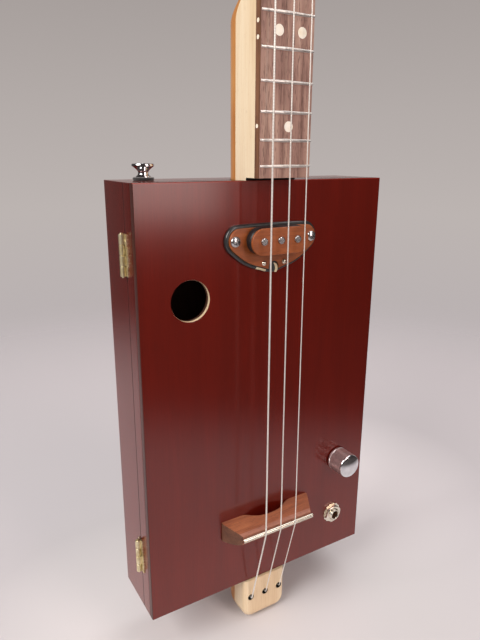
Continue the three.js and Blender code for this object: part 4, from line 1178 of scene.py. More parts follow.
def makePickup():
    p = pickup
    holes = bmesh.new()
    for x in p["screwX"]:
        addRod(holes, p["screwShank"] + 0.12, x, p["z"], -8, 4, 24)
    addRod(holes, openings["lead"]["radius"], *openings["lead"]["place"], -4, 4, 24)
    base = carved(plateFrom(pickupOutline(0), p["baseFront"], 0, p["baseEdge"], 5), holes, inside=0)
    finishPiece("fibre_base", base, "root", [blackFibre], ["pickup_base"])
    # Cream bare fibre shows at the right of the plate's notch and on the base's lower left edge
    bare = bmesh.new()
    half = p["notchWidth"] / 2
    middle = p["z"] - p["tipDrop"] + p["notchDepth"] - half - 1.2
    outer = arcPoints(0.0, middle, half - 0.12, -0.75, 1.2, 14)
    inner = arcPoints(-3.2, middle, half + 1.0, 0.8, -0.5, 14)
    extruded(bare, [(x, p["baseFront"] + 0.1, z) for x, z in outer + inner], (0, -0.22, 0))
    outline = [Vector(point) for point in pickupOutline(0)]
    edge, skin = p["baseEdge"], p["creamSkin"]
    sections = []
    for k in range(1, len(outline) - 1):
        if not (p["cream"][0] < outline[k].x < p["cream"][1] and outline[k].y < p["z"]):
            continue
        along = outline[k + 1] - outline[k - 1]
        inward = Vector((-along.y, along.x)).normalized()
        inward *= -1 if inward.y < 0 else 1
        foot = outline[k] + inward * edge
        ring = []
        for reach, turns in ((edge + skin, range(9)), (edge - 0.3, range(8, -1, -1))):
            for k in turns:
                side = foot - inward * reach * math.cos(math.pi * k / 16)
                ring.append((side.x, p["baseFront"] + edge - reach * math.sin(math.pi * k / 16), side.y))
        sections.append(ring)
    lofted(bare, sections)
    finishPiece("bare_fibre_spots", bare, "root", [bareFibre])

    def poleHoles():
        bm = bmesh.new()
        for x in p["poleX"]:
            addRod(bm, p["poleRadius"] + 0.12, x, p["z"], p["topFront"] - 2, p["baseFront"] + 2, 32)
        return bm

    tipZ = p["z"] - p["tipDrop"]
    cuts = poleHoles()
    for x in p["screwX"]:
        addRod(cuts, p["screwShank"] + 0.12, x, p["z"], -8, 4, 24)
    half = p["notchWidth"] / 2
    notch = [(-half, tipZ - 2), (half, tipZ - 2)]
    notch += arcPoints(0, tipZ + p["notchDepth"] - half, half, 0, math.pi, 20)
    extruded(cuts, [(x, p["plateFront"] - 1, z) for x, z in notch], (0, 4, 0))
    plate = plateFrom(pickupOutline(p["plateInset"]), p["plateFront"], p["baseFront"], p["plateEdge"])
    finishPiece("lower_plate", carved(plate, cuts, inside=0), "root", [plateVeneer],
                ["pickup_bottom_plate"])
    # The taped coil bulges a little between its plates
    coil = bmesh.new()
    rows = 9
    sections = []
    for k in range(rows):
        share = k / (rows - 1)
        depth = blended(p["plateFront"], p["coilFront"], share)
        pinch = 0.8 * (2 * share - 1) ** 4 + (0.12 if k % 2 else 0.0)
        points = stadium(p["coilLength"] - 2 * pinch, p["coilWidth"] - 2 * pinch, p["z"])
        sections.append([(x, depth, z) for x, z in points])
    lofted(coil, sections)
    finishPiece("taped_coil", carved(coil, poleHoles(), inside=0), "root", [blackTape],
                ["pickup_coil"], 50)
    top = plateFrom(stadium(p["topLength"], p["topWidth"], p["z"] + p["topShift"]), p["topFront"],
                    p["coilFront"], p["plateEdge"])
    finishPiece("upper_plate", carved(top, poleHoles(), inside=0), "root", [plateVeneer],
                ["pickup_top_plate"])
    for name, x in zip(stringLine["names"], p["poleX"]):
        pole = bmesh.new()
        front, r, c = p["topFront"] - p["poleProud"], p["poleRadius"], p["poleChamfer"]
        profile = [[0, front], [r - c, front], [r - c * 0.3, front + c * 0.3], [r, front + c],
                   [r, p["baseFront"]], [0, p["baseFront"]]]
        turned(pole, profile, (x, 0, p["z"]), "Y", 36)
        finishPiece(f"pole_piece_{name}", pole, "root", [steel], [f"pole_{name}"], 15)
    for name, x in zip(("left", "right"), p["screwX"]):
        screw = bmesh.new()
        crown, r = p["plateFront"] - p["screwHeadHeight"], p["screwHead"]
        head = [[r * math.sin(t), p["plateFront"] - 0.5 - (p["screwHeadHeight"] - 0.5) * math.cos(t)] for t in
                quarterTurn(8)]
        shank = p["plateFront"] + p["screwLength"]
        thread = []
        for k in range(9):
            thread += [[p["screwShank"] * 0.98, p["plateFront"] + 1.0 + k * 0.8],
                       [p["screwShank"] * 0.72, p["plateFront"] + 1.4 + k * 0.8]]
        turned(screw,
               head + [[r, p["plateFront"]], [p["screwShank"], p["plateFront"]]] + thread + [[0, shank]],
               (x, 0, p["z"]), "Y", 36)
        cross = bmesh.new()
        w, l = p["crossWidth"] / 2, p["crossLength"] / 2
        plus = [(w, w), (w, l), (-w, l), (-w, w), (-l, w), (-l, -w), (-w, -w), (-w, -l), (w, -l), (w, -w),
                (l, -w), (l, w)]
        extruded(cross, [(x + u, crown - 1, p["z"] + v) for u, v in plus], (0, 1 + p["crossDepth"], 0))
        finishPiece(f"mounting_screw_{name}", carved(screw, cross, inside=0), "root", [steel],
                    [f"pickup_screw_{name}"])
    eyelets = bmesh.new()
    for x in p["eyeletX"]:
        r, y = p["eyeletRadius"], p["plateFront"]
        rise = p["eyeletRise"]
        dome = [[r * math.sin(t), y - rise * math.cos(t)] for t in quarterTurn(8)]
        turned(eyelets, dome + [[r, y + 0.05], [0, y + 0.05]], (x, 0, p["eyeletZ"]), "Y", 28)
    finishPiece("solder_eyelets", eyelets, "root", [nickel])


makeBridge()
makePickup()
print("bridge and pickup made")


# Hinges: stamped leaves with scalloped edges, rolled knuckles, a domed pin and small nails
hinge = {
    "centres": {"lower": -659.2, "upper": -443.0}, "length": 28.0, "end": 0.9, "x": -97.65, "depth": 16.0,
    "knuckle": 1.8, "bore": 1.15, "pin": 1.05, "count": 4, "gap": 0.3, "leafBack": -95.25,
    "leafFront": -96.05,
    "deep": 4.7, "shallow": 3.4, "scallop": 0.5, "scallopPitch": 2.4, "rolled": 0.5,
    "wide": {"lower": (0.0, 0.56), "upper": (0.25, 0.7)}, "nail": 0.75, "nailSpots": (0.16, 0.84),
    "nailReach": 2.6, "leafEdge": 0.18, "knuckleEdge": 0.25, "outlineSteps": 112,
}


def leafOutline(name, low, high):
    # Depth from the pin's line at each height, deeper along the stamped middle
    h = hinge
    start, end = [blended(low, high, share) for share in h["wide"][name]]
    points = []
    for k in range(h["outlineSteps"] + 1):
        z = blended(low, high, k / h["outlineSteps"])
        reach = h["deep"] if start <= z <= end else h["shallow"]
        wave = abs(math.sin(math.pi * (z - start) / h["scallopPitch"]))
        points.append((reach - h["scallop"] * (1 - wave), z))
    return points


def makeHinge(name, middle):
    h = hinge
    low, high = middle - h["length"] / 2 + h["end"], middle + h["length"] / 2 - h["end"]
    pitch = (high - low) / h["count"]
    for leaf, sign, body in (("lid", -1, "root"), ("tray", 1, "tray")):
        outline = [(h["rolled"], high), (h["rolled"], low)] + leafOutline(name, low, high)
        bm = bmesh.new()
        points = [(h["leafBack"], h["depth"] + sign * y, z) for y, z in outline]
        extruded(bm, points, (h["leafFront"] - h["leafBack"], 0, 0))
        facing(bm)
        roundEdges(bm, allAt("X", h["leafFront"]), h["leafEdge"], 2)
        for share in h["nailSpots"]:
            place = (0, h["depth"] + sign * h["nailReach"], blended(low, high, share))
            face = h["leafFront"]
            turned(bm, [[0, face - 0.4], [h["nail"] * 0.6, face - 0.32], [h["nail"], face - 0.05],
                        [h["nail"], face + 0.2], [0, face + 0.2]], place, "X", 20)
        for k in range(h["count"]):
            if (k % 2 == 0) == (leaf == "tray"):
                z0, z1 = low + k * pitch + h["gap"] / 2, low + (k + 1) * pitch - h["gap"] / 2
                # A strip of the leaf rises to the barrel, which it was rolled into
                tab = [h["depth"] + sign * h["bore"], h["depth"] + sign * h["knuckle"]]
                addBlock(bm, (h["x"], min(tab), z0 + 0.1), (h["leafFront"] + 0.1, max(tab), z1 - 0.1))
                r, b, e = h["knuckle"], h["bore"], h["knuckleEdge"]
                ring = [[b, z0], [r - e, z0], [r, z0 + e], [r, z1 - e], [r - e, z1], [b, z1]]
                turned(bm, ring, (h["x"], h["depth"], 0), "Z", 28, ring=True)
        finishPiece(f"{name}_hinge_{leaf}_leaf", bm, body, [brass], [f"hinge_{name}_{leaf}_leaf"],
                    40)
    pin = bmesh.new()
    r, tip = h["pin"], h["end"]
    turned(pin, [[0, low - tip], [r * 0.7, low - tip * 0.75], [r, low - tip * 0.2], [r, high + tip * 0.2],
                 [r * 0.7, high + tip * 0.75], [0, high + tip]], (h["x"], h["depth"], 0), "Z", 24)
    finishPiece(f"{name}_hinge_pin", pin, "root", [brass], [f"hinge_{name}_pin"])


def hexagonNut(x, z, flats, front, back, bore, turn=0.0):
    # A hexagon whose front corners are turned down to a cone, with a plain bore
    reach = flats / math.sqrt(3)
    corners = [(x + reach * math.cos(turn + math.pi * k / 3),
                z + reach * math.sin(turn + math.pi * k / 3)) for k in range(6)]
    bm = bmesh.new()
    extruded(bm, [(u, back, v) for u, v in corners], (0, front - 0.5 - back, 0))
    shoulder = flats / 2 * 0.95
    wide = reach + 0.6
    blank = bmesh.new()
    turned(blank,
           [[bore, front + 0.25], [bore + 0.25, front], [shoulder, front],
            [wide, front + (wide - shoulder) * 0.55],
                   [wide, back + 0.5], [bore, back + 0.5]], (x, 0, z), "Y", 60, ring=True)
    return carved(bm, blank, "INTERSECT", 0)


# Volume control: fluted metal knob with a polished domed top, its nut, shaft and pot
volume = {
    "x": 68.6, "z": -621.0, "radius": 9.5, "front": -17.8, "skirt": -0.8, "bevel": 0.9, "dome": 1.3,
    "fluteFrom": -2.3, "fluteTo": -15.2, "flutes": 76, "fluteDepth": 0.32, "recess": 7.8, "recessDepth": 3.0,
    "nutFlats": 12.7, "nut": 1.8, "bushing": 4.6, "bushingFront": -2.4, "shaft": 3.0, "shaftFront": -14.3,
    "shaftBack": 12.3, "can": 11.8, "canFront": 4.8, "canBack": 14.8,
}


def makeKnob():
    v = volume
    bm = bmesh.new()
    r, front, skirt = v["radius"], v["front"], v["skirt"]
    rim = r - v["bevel"]
    side = front + v["dome"] + v["bevel"]
    profile = [[rim * k / 8, front + v["dome"] * (k / 8) ** 2] for k in range(9)]
    profile += [[r - v["bevel"] * 0.3, front + v["dome"] + v["bevel"] * 0.3], [r, side]]
    profile += [[r, v["fluteTo"] - 0.25], [r, v["fluteTo"]], [r, v["fluteTo"] + 0.3],
                [r, v["fluteFrom"] - 0.3],
                [r, v["fluteFrom"]], [r, skirt - 0.3], [r - 0.3, skirt]]
    profile += [[v["recess"], skirt], [v["recess"], skirt - v["recessDepth"]],
                [v["shaft"] + 0.1, skirt - v["recessDepth"]],
                [v["shaft"] + 0.1, v["shaftFront"] - 0.1], [0, v["shaftFront"] - 0.1]]
    turned(bm, profile, (v["x"], 0, v["z"]), "Y", 2 * v["flutes"])
    bm.normal_update()
    # Every other line of the skirt is pressed in to make the flutes
    for vert in bm.verts:
        across, up = vert.co.x - v["x"], vert.co.z - v["z"]
        line = round(math.atan2(up, across) / math.pi * v["flutes"])
        fluted = v["fluteTo"] + 0.1 < vert.co.y < v["fluteFrom"] - 0.1
        if fluted and math.hypot(across, up) > r - 0.05 and line % 2:
            share = 1 - v["fluteDepth"] / r
            vert.co.x, vert.co.z = v["x"] + across * share, v["z"] + up * share
    for face in bm.faces:
        centre = face.calc_center_median()
        far = math.hypot(centre.x - v["x"], centre.z - v["z"])
        face.material_index = 1 if far > r - 0.4 and centre.y > side + 0.05 else 0
    finishPiece("fluted_knob", bm, "volume", [chrome, flutedChrome], ["volume_knob"], 25)


def makeVolume():
    v = volume
    makeKnob()
    nut = hexagonNut(v["x"], v["z"], v["nutFlats"], -v["nut"], 0, v["bushing"] + 0.12)
    finishPiece("volume_hexagon_nut", nut, "root", [nickel], ["volume_nut"], 30)
    shaft = bmesh.new()
    r = v["shaft"]
    turned(shaft,
           [[0, v["shaftFront"]], [r - 0.4, v["shaftFront"]], [r, v["shaftFront"] + 0.4], [r, v["shaftBack"]],
                   [0, v["shaftBack"]]], (v["x"], 0, v["z"]), "Y", 40)
    slit = bmesh.new()
    addBlock(slit, (v["x"] - 0.5, v["shaftFront"] - 1, v["z"] - r - 1),
             (v["x"] + 0.5, v["shaftFront"] + 6, v["z"] + r + 1))
    finishPiece("split_shaft", carved(shaft, slit, inside=0), "volume", [brass], ["volume_shaft"],
                30)
    # Pressed can with a rounded back, threaded bushing, crimped tabs and a wafer with three lugs
    can = bmesh.new()
    bore, bush, wide = r + 0.12, v["bushing"], v["can"]
    thread = []
    for k in range(5):
        thread += [[bush, v["bushingFront"] + 0.4 + 0.8 * k], [bush - 0.3, v["bushingFront"] + 0.8 + 0.8 * k]]
    outline = [[0, v["canBack"] - 0.9], [wide - 1.4, v["canBack"] - 0.9], [wide - 1.4, v["canFront"] + 1.2]]
    outline += [[bore, v["canFront"] + 1.2], [bore, v["bushingFront"]],
                [bush - 0.3, v["bushingFront"]]] + thread
    outline += [[bush, v["canFront"]], [wide - 0.5, v["canFront"]], [wide, v["canFront"] + 0.5]]
    outline += [[wide, v["canFront"] + 2.2], [wide - 0.4, v["canFront"] + 2.4]]
    outline += arcProfile(wide - 0.4, v["canBack"], 1.4)
    outline += [[0, v["canBack"]]]
    turned(can, outline, (v["x"], 0, v["z"]), "Y", 56)
    finishPiece("pot_can", can, "root", [nickel], ["volume_pot"], 32)
    wafer = bmesh.new()
    for k in (-1, 0, 1):
        x = v["x"] - 9.6
        z = v["z"] + 5.0 * k
        addBlock(wafer, (x - 1.9, v["canFront"] + 2.9, z - 1.2), (x + 0.4, v["canFront"] + 3.3, z + 1.2))
        addRod(wafer, 0.55, x - 1.1, z, v["canFront"] + 2.6, v["canFront"] + 3.6, 16)
    finishPiece("pot_lugs", wafer, "root", [brass])


def arcProfile(radius, end, rounding, steps=5):
    # A rounded corner between a turned part's side and its end
    return [[radius - rounding * (1 - math.cos(t)),
             end - rounding * (1 - math.sin(t))] for t in quarterTurn(steps)]


# Output jack: threaded bushing, toothed washer, hexagon nut and a barrel behind the board
jack = {
    "x": 66.3, "z": -671.4, "bushing": 4.6, "front": -5.4, "bore": 3.2, "washer": 8.5, "washerRoot": 8.0,
    "washerBack": 0.0, "washerFront": -0.8, "teeth": 14, "flats": 13.6, "nutFront": -3.6, "nutBack": -0.9,
    "turn": 0.28, "barrel": 8.0, "barrelFront": 4.8, "barrelBack": 23.8, "threadPitch": 0.8,
    "groove": (16.0, 16.3, 17.2, 17.5), "grooveDepth": 0.5,
    "spring": {"half": 2.6, "rise": 1.2, "front": 6.4, "back": 6.8},
}


def makeJack():
    j = jack
    centre = (j["x"], 0, j["z"])
    body = bmesh.new()
    thread = []
    count = int((j["barrelFront"] - j["front"] - 1) / j["threadPitch"])
    for k in range(count):
        start = j["front"] + 0.5 + j["threadPitch"] * k
        thread += [[j["bushing"], start], [j["bushing"] - 0.28, start + j["threadPitch"] / 2]]
    barrel = j["barrel"]
    outline = [[j["bore"], j["front"] + 0.5], [j["bore"] + 0.4, j["front"]],
               [j["bushing"] - 0.35, j["front"]]] + thread
    outline += [[j["bushing"], j["barrelFront"]], [barrel - 0.4, j["barrelFront"]],
                [barrel, j["barrelFront"] + 0.4]]
    outline += [[barrel - cut, y] for y, cut in zip(j["groove"], (0, j["grooveDepth"], j["grooveDepth"], 0))]
    outline += [[barrel, j["barrelBack"] - 0.5], [barrel - 0.5, j["barrelBack"]],
                [j["bore"], j["barrelBack"]]]
    outline += [[j["bore"], j["front"] + 1.6]]
    turned(body, outline, centre, "Y", 48, ring=True)
    for face in body.faces:
        middle = face.calc_center_median()
        far = math.hypot(middle.x - j["x"], middle.z - j["z"])
        deep = far < j["bore"] + 0.05 and middle.y > j["front"] + 1.7
        face.material_index = 1 if deep or middle.y > j["barrelBack"] - 0.05 else 0
    finishPiece("jack_barrel", body, "root", [nickel, phenolic], ["output_jack"], 32)
    # The contact spring crosses the bore behind the bushing
    c = j["spring"]
    spring = bmesh.new()
    addBlock(spring, (j["x"] - c["half"], c["front"], j["z"] - c["rise"]),
             (j["x"] + c["half"], c["back"], j["z"] + c["rise"]))
    finishPiece("jack_contact", spring, "root", [brass])
    nut = hexagonNut(j["x"], j["z"], j["flats"], j["nutFront"], j["nutBack"], j["bushing"] + 0.1, j["turn"])
    ring = bmesh.new()
    points = []
    for k in range(4 * j["teeth"]):
        reach = j["washer"] if k % 4 < 2 else j["washerRoot"]
        turn = 2 * math.pi * k / (4 * j["teeth"])
        points.append((j["x"] + reach * math.cos(turn), j["washerBack"], j["z"] + reach * math.sin(turn)))
    extruded(ring, points, (0, j["washerFront"] - j["washerBack"], 0))
    hole = bmesh.new()
    addRod(hole, j["bushing"] + 0.1, j["x"], j["z"], -3, 1, 48)
    ring = carved(ring, hole, inside=0)
    for face in ring.faces:
        face.material_index = 0
    nut = carved(nut, ring, "UNION", 0)
    finishPiece("jack_nut_and_washer", nut, "root", [nickel], ["jack_nut"], 28)


# Strap button: turned cone with a rolled rim, on a felt washer
strap = {
    "x": -76.0, "y": 31.0, "seat": -397.6, "top": -389.3, "base": 4.8, "waist": 3.3, "head": 7.2, "rim": 1.5,
    "stem": 1.9, "stemEnd": -405.1, "felt": 6.7, "feltLow": -399.6, "hole": 2.0,
}


def makeStrapButton():
    s = strap
    centre = (s["x"], s["y"], 0)
    height = s["top"] - s["seat"]
    button = bmesh.new()
    profile = [[0, s["stemEnd"]], [s["stem"], s["stemEnd"]], [s["stem"], s["seat"]], [s["base"], s["seat"]]]
    profile += [[s["base"], s["seat"] + 0.4], [s["base"] - 0.35, s["seat"] + 0.8],
                [s["waist"] + 0.35, s["seat"] + 1.4]]
    profile += [[s["waist"], s["seat"] + 2.2], [s["waist"], s["seat"] + 3.2]]
    flare = [Vector((s["waist"], s["seat"] + 3.2)), Vector((s["waist"] + 0.2, s["seat"] + 4.4)),
             Vector((s["head"] - 0.5, s["top"] - s["rim"] - 0.6)), Vector((s["head"], s["top"] - s["rim"]))]
    profile += [list(bezier(flare, k / 10)) for k in range(1, 11)]
    profile += [[s["head"], s["top"] - 0.7], [s["head"] - 0.25, s["top"] - 0.25], [s["head"] - 0.8, s["top"]]]
    profile += [[s["head"] - 1.5, s["top"] - 0.1], [s["head"] - 1.9, s["top"] - height * 0.06],
                [0, s["top"] - height * 0.05]]
    turned(button, profile, centre, "Z", 56)
    finishPiece("strap_button_cone", button, "tray", [chrome], ["strap_button"], 32)
    washer = bmesh.new()
    soft = 0.5
    profile = [[s["hole"], s["feltLow"]], [s["felt"] - soft, s["feltLow"]], [s["felt"], s["feltLow"] + soft]]
    profile += [[s["felt"], s["seat"] - soft], [s["felt"] - soft, s["seat"]], [s["hole"], s["seat"]]]
    turned(washer, profile, centre, "Z", 48, ring=True)
    finishPiece("strap_felt_washer", washer, "tray", [felt], ["strap_felt"], 50)


# Tuning machines: closed housing behind the head, hexagon bushing and post in front, shaped key
machine = {
    "rounding": 2.4, "socket": 3.12, "socketDepth": 8.0, "keySocket": 2.12, "keyDepth": 17.5, "keyDrop": 6.6,
    "outer": 26.0, "flange": 5.6, "flangeFront": -2.7, "headFront": -2.0, "nutFront": -3.5,
    "tube": 5.0, "tubeBack": 11.0, "post": 3.0, "cap": 3.5, "capFront": -13.0, "postBack": 19.7, "waist": 2.7,
    "hole": 0.75, "holeDepth": -5.4, "shaft": 2.0, "collar": 3.0, "grip": (32.3, 45.2),
    "gripHalf": (3.95, 8.9),
    "backRing": (4.6, 5.1), "backSlot": (3.0, 0.45),
}


def makeTuner(name, tuner):
    m = machine
    x, z, out = tuner["x"], tuner["z"], tuner["out"]
    low, high = nodeBox(f"tuner_housing_{name}")
    keyZ = z - m["keyDrop"]
    housing = bmesh.new()
    addBlock(housing, low, high)
    onFront = allAt("Y", low.y)
    roundEdges(facing(housing), lambda edge: not onFront(edge), m["rounding"], 5)
    cuts = bmesh.new()
    addRod(cuts, m["socket"], x, z, low.y - 1, low.y + m["socketDepth"], 36)
    ends = sorted((out * (m["outer"] - 8.0), out * (m["outer"] + 1.0)))
    turned(cuts, [[0, ends[0]], [m["keySocket"], ends[0]], [m["keySocket"], ends[1]], [0, ends[1]]],
           (0, m["keyDepth"], keyZ), "X", 32)
    inner, outer = m["backRing"]
    turned(cuts, [[inner, high.y - 0.5], [outer, high.y - 0.5], [outer, high.y + 1], [inner, high.y + 1]],
           (x, 0, z), "Y", 48,
           ring=True)
    wide, tall = m["backSlot"]
    addBlock(cuts, (x - wide, high.y - 0.7, z - tall), (x + wide, high.y + 1, z + tall))
    finishPiece(f"{name}_tuner_housing", carved(housing, cuts, inside=0), "root", [chrome],
                [f"tuner_housing_{name}"], 28)
    bushing = hexagonNut(x, z, m["flange"] * math.sqrt(3) * 0.98, m["nutFront"], m["flangeFront"] + 0.1,
                         m["socket"], 0.3)
    turned(bushing,
           [[m["socket"], m["flangeFront"]], [m["flange"] - 0.2, m["flangeFront"]],
            [m["flange"], m["flangeFront"] + 0.2],
                     [m["flange"], m["headFront"]], [m["tube"], m["headFront"]], [m["tube"], m["tubeBack"]],
                     [m["socket"], m["tubeBack"]]], (x, 0, z), "Y", 48, ring=True)
    finishPiece(f"{name}_tuner_bushing", bushing, "root", [chrome], [f"tuner_bushing_{name}"], 28)
    post = bmesh.new()
    cap = m["capFront"]
    turned(post,
           [[0, cap], [m["cap"] - 1.0, cap], [m["cap"] - 0.2, cap + 0.5], [m["cap"], cap + 1.0],
            [m["cap"] - 0.1, cap + 1.5],
                  [m["post"] - 0.1, cap + 2.3], [m["waist"] + 0.05, cap + 4.4], [m["waist"], cap + 7.4],
                  [m["post"], cap + 8.6], [m["post"], m["postBack"]], [0, m["postBack"]]], (x, 0, z), "Y", 40)
    hole = bmesh.new()
    turned(hole, [[0, x - 6], [m["hole"], x - 6], [m["hole"], x + 6], [0, x + 6]], (0, m["holeDepth"], z),
           "X", 20)
    finishPiece(f"{name}_tuner_post", carved(post, hole, inside=0), f"post_{name}", [chrome],
                [f"tuner_post_{name}"], 30)
    makeKey(name, out, keyZ)


def makeKey(name, out, keyZ):
    m = machine
    bm = bmesh.new()

    def oval(reach, deep, high, power=2.0):
        points = []
        for k in range(40):
            turn = 2 * math.pi * k / 40
            y = math.copysign(abs(math.cos(turn)) ** (2 / power), math.cos(turn))
            z = math.copysign(abs(math.sin(turn)) ** (2 / power), math.sin(turn))
            points.append((out * reach, m["keyDepth"] + deep * y, keyZ + high * z))
        return points

    r, c = m["shaft"], m["collar"]
    start, end = m["grip"]
    sections = [oval(m["outer"] - 7.7, r, r), oval(m["outer"] + 0.3, r, r),
                oval(m["outer"] + 0.35, c - 0.3, c - 0.3)]
    sections += [oval(m["outer"] + 0.7, c, c), oval(m["outer"] + 2.0, c, c),
                 oval(m["outer"] + 2.4, c - 0.4, c - 0.4)]
    sections += [oval(m["outer"] + 2.45, r, r), oval(start - 0.6, r, r)]
    deep, high = m["gripHalf"]
    steps = 18
    for k in range(steps + 1):
        turn = blended(0.42, math.pi - 0.3, k / steps)
        reach = blended(start, end, (1 - math.cos(turn)) / 2)
        sections.append(oval(reach, deep * math.sin(turn) ** 0.6, high * math.sin(turn) ** 0.75, 2.6))
    lofted(bm, sections)
    finishPiece(f"{name}_tuner_key", bm, f"key_{name}", [chrome], [f"tuner_key_{name}"], 35)


# Leads inside the box: the pickup's to the pot and the pot's to the jack, through given points
leads = {
    "radius": 1.2, "steps": 8,
    "pickup": [
        (25.0, -2.6, -442.4), (25.0, 0.0, -442.4), (25.0, 4.8, -442.4), (26.2, 8.4, -446.0),
        (27.4, 8.4, -456.8),
        (46.8, 8.4, -531.7), (68.6, 8.6, -594.3), (68.6, 9.8, -603.9), (68.6, 9.8, -606.3),
        (68.6, 9.8, -608.7),
    ],
    "jack": [
        (68.6, 9.8, -633.3), (68.6, 9.8, -635.7), (68.6, 12.05, -639.3), (66.3, 14.3, -657.1),
        (66.3, 14.3, -660.7), (66.3, 14.3, -663.1),
    ],
}


def smoothRoute(corners, steps):
    # Centripetal curve through every corner
    points = [Vector(corner) for corner in corners]
    points = [2 * points[0] - points[1]] + points + [2 * points[-1] - points[-2]]
    route = []
    for a, b, c, d in zip(points, points[1:], points[2:], points[3:]):
        ta = 0.0
        tb = ta + math.sqrt((b - a).length)
        tc = tb + math.sqrt((c - b).length)
        td = tc + math.sqrt((d - c).length)
        for k in range(steps):
            t = blended(tb, tc, k / steps)
            ab, bc = a.lerp(b, (t - ta) / (tb - ta)), b.lerp(c, (t - tb) / (tc - tb))
            cd = c.lerp(d, (t - tc) / (td - tc))
            abc, bcd = ab.lerp(bc, (t - ta) / (tc - ta)), bc.lerp(cd, (t - tb) / (td - tb))
            route.append(abc.lerp(bcd, (t - tb) / (tc - tb)))
    return route + [points[-2]]


for hingeName, hingeMiddle in hinge["centres"].items():
    makeHinge(hingeName, hingeMiddle)
print("hinges made")
makeVolume()
makeJack()
makeStrapButton()
print("volume control, jack and strap button made")
for tunerName, tunerPlace in tuners.items():
    makeTuner(tunerName, tunerPlace)
for leadName in ("pickup", "jack"):
    route = smoothRoute(leads[leadName], leads["steps"])
    makeTube(f"{leadName}_wire", route, leads["radius"], "root", leadCover,
             [f"{leadName}_lead"])
print("tuning machines and leads made")


# Paper floor round the guitar: pale up to its front edge, fading into the backdrop behind
stage = {
    "radius": 1.4, "rings": 96, "gap": 0.0002, "fadeFrom": 0.5, "fadeTo": 1.15,
    # Paper tone by distance from the guitar: painted light, palest near its base and darker outwards
    "paintedLightFalloff": [(0.06, "#ccc7c8"), (0.1, "#c5c1c2"), (0.13, "#c3bfc0"), (0.25, "#bfbabd"), (0.6, "#bfb9bc")],
    # Painted pools of light on the paper: behind the box's right side, and in front of its left corner
    "paintedLightPools": [
        {"place": (0.19, 0.13, 0.0), "full": 0.04, "none": 0.17, "tone": "#dcd6d8"},
        {"place": (-0.085, 0.03, 0.0), "full": 0.05, "none": 0.15, "tone": "#d5d0d1"},
    ],
    "table": "#2c2625",
    "edgeToward": (0.56, -0.83, 0.0), "edgeFrom": 0.22, "edgeTo": 0.42, "viewToward": (0.513, 0.858, 0.0),
    # Backdrop tone by height of the view, then the darker room away from it
    "backdrop": [
        (0.16, "#cfc6c7"), (0.29, "#cdc4c5"), (0.33, "#c2b9ba"), (0.37, "#bab2b2"), (0.455, "#bcb4b1"),
        (0.535, "#b3aba8"),
        (0.607, "#a8a09d"), (0.7, "#968e8c"), (1.0, "#6d6765"),
    ],
    "room": "#3a3433", "roomFrom": 0.86, "roomTo": 0.58, "diffuse": "#d9d3d1", "diffuseStrength": 0.6,
}


def towardShare(tree, direction, along, start, end):
    # 0 to 1 as a position or direction goes from start to end along a line
    dot = addNode(tree, "ShaderNodeVectorMath", {"operation": "DOT_PRODUCT"}, {0: direction})
    dot.inputs[1].default_value = along
    reach = addNode(tree, "ShaderNodeMapRange", {"interpolation_type": "SMOOTHSTEP"},
                    {"Value": dot.outputs["Value"]})
    reach.inputs["From Min"].default_value = start
    reach.inputs["From Max"].default_value = end
    return reach.outputs[0]


def makeStage():
    bm = bmesh.new()
    bmesh.ops.create_circle(bm, cap_ends=True, radius=stage["radius"], segments=stage["rings"])
    bmesh.ops.translate(bm, verts=bm.verts, vec=(0, 0, frameBounds[0].z - stage["gap"]))
    mesh = bpy.data.meshes.new("paper_floor")
    bm.to_mesh(mesh)
    bm.free()
    floor = placed("paper_floor", mesh)
    material, tree, shader = newMaterial("matt_backdrop_paper", 0.9)
    place = addNode(tree, "ShaderNodeTexCoord").outputs["Object"]
    flat = addNode(tree, "ShaderNodeVectorMath", {"operation": "MULTIPLY"}, {0: place})
    flat.inputs[1].default_value = (1, 1, 0)
    distance = addNode(tree, "ShaderNodeVectorMath", {"operation": "LENGTH"},
                       {0: flat.outputs[0]}).outputs["Value"]
    # The tone by distance is painted light
    tone = ramp(tree, distance, stage["paintedLightFalloff"])
    # Each pool mixes a paler tone into the paper: painted light
    for spot in stage["paintedLightPools"]:
        aside = addNode(tree, "ShaderNodeVectorMath", {"operation": "DISTANCE"}, {0: flat.outputs[0]})
        aside.inputs[1].default_value = spot["place"]
        share = ramp(tree, aside.outputs["Value"], [(spot["full"], 1.0), (spot["none"], 0.0)])
        tone = mixed(tree, share, tone, spot["tone"])
    # Past its front edge, outside the photograph, the paper ends on a dark table
    past = towardShare(tree, place, stage["edgeToward"], stage["edgeFrom"], stage["edgeTo"])
    tree.links.new(mixed(tree, past, tone, stage["table"]), shader.inputs["Base Color"])
    away = addNode(tree, "ShaderNodeMapRange", {"interpolation_type": "SMOOTHSTEP"}, {"Value": distance})
    away.inputs["From Min"].default_value = stage["fadeFrom"]
    away.inputs["From Max"].default_value = stage["fadeTo"]
    clear = addNode(tree, "ShaderNodeBsdfTransparent")
    fade = addNode(tree, "ShaderNodeMixShader",
                   links={0: away.outputs[0], 1: shader.outputs[0], 2: clear.outputs[0]})
    tree.links.new(fade.outputs[0], tree.nodes["Material Output"].inputs["Surface"])
    mesh.materials.append(material)


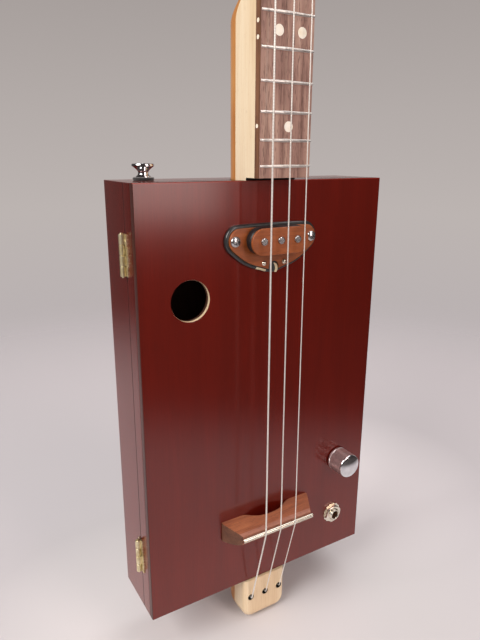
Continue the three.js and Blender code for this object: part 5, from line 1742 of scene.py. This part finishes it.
def makeWorld():
    world = bpy.data.worlds.new("studio")
    bpy.context.scene.world = world
    world.use_nodes = True
    tree = world.node_tree
    tree.nodes.clear()
    out = addNode(tree, "ShaderNodeOutputWorld")
    view = addNode(tree, "ShaderNodeTexCoord").outputs["Generated"]
    parts = addNode(tree, "ShaderNodeSeparateXYZ", links={"Vector": view})
    upward = calculated(tree, "ADD", calculated(tree, "MULTIPLY", parts.outputs[2], 0.5), 0.5)
    aside = towardShare(tree, view, stage["viewToward"], stage["roomFrom"], stage["roomTo"])
    shown = mixed(tree, aside, ramp(tree, upward, stage["backdrop"]), stage["room"])
    seen = addNode(tree, "ShaderNodeBackground", {"Strength": 1.0}, {"Color": shown})
    settings = {"Color": linear(stage["diffuse"]), "Strength": stage["diffuseStrength"]}
    light = addNode(tree, "ShaderNodeBackground", settings)
    path = addNode(tree, "ShaderNodeLightPath")
    shiny = calculated(tree, "MAXIMUM", path.outputs["Is Glossy Ray"], path.outputs["Is Transmission Ray"])
    direct = calculated(tree, "MAXIMUM", path.outputs["Is Camera Ray"], shiny)
    mix = addNode(tree, "ShaderNodeMixShader", links={0: direct, 1: light.outputs[0], 2: seen.outputs[0]})
    tree.links.new(mix.outputs[0], out.inputs[0])


lamps = {
    # place, what it looks at, width, height, power and colour
    "key": {"place": (-2.05, -0.5, 1.0), "aim": (0, 0, -0.35), "size": (1.6, 1.6), "power": 63,
            "colour": "#fffcf8"},
    "window": {"place": (0.43, -1.4, 0.3), "aim": (0, 0, 0.1), "size": (0.6, 1.8), "power": 13.5,
               "colour": "#ffece6"},
    "top": {"place": (0.75, 0.0, 1.7), "aim": (0, 0, -0.6), "size": (1.8, 1.8), "power": 24,
            "colour": "#ffffff"},
}


def makeLamps():
    for name, lamp in lamps.items():
        data = bpy.data.lights.new(f"{name}Softbox", "AREA")
        data.shape = "RECTANGLE"
        data.size, data.size_y = lamp["size"]
        data.energy = lamp["power"]
        data.color = linear(lamp["colour"])[:3]
        thing = placed(f"{name}Softbox", data)
        thing.location = lamp["place"]
        aim = Vector(lamp["aim"]) - Vector(lamp["place"])
        thing.rotation_euler = aim.to_track_quat("-Z", "Y").to_euler()


makeStage()
makeWorld()
makeLamps()
bpy.context.scene.view_settings.view_transform = "Standard"
print("studio made")
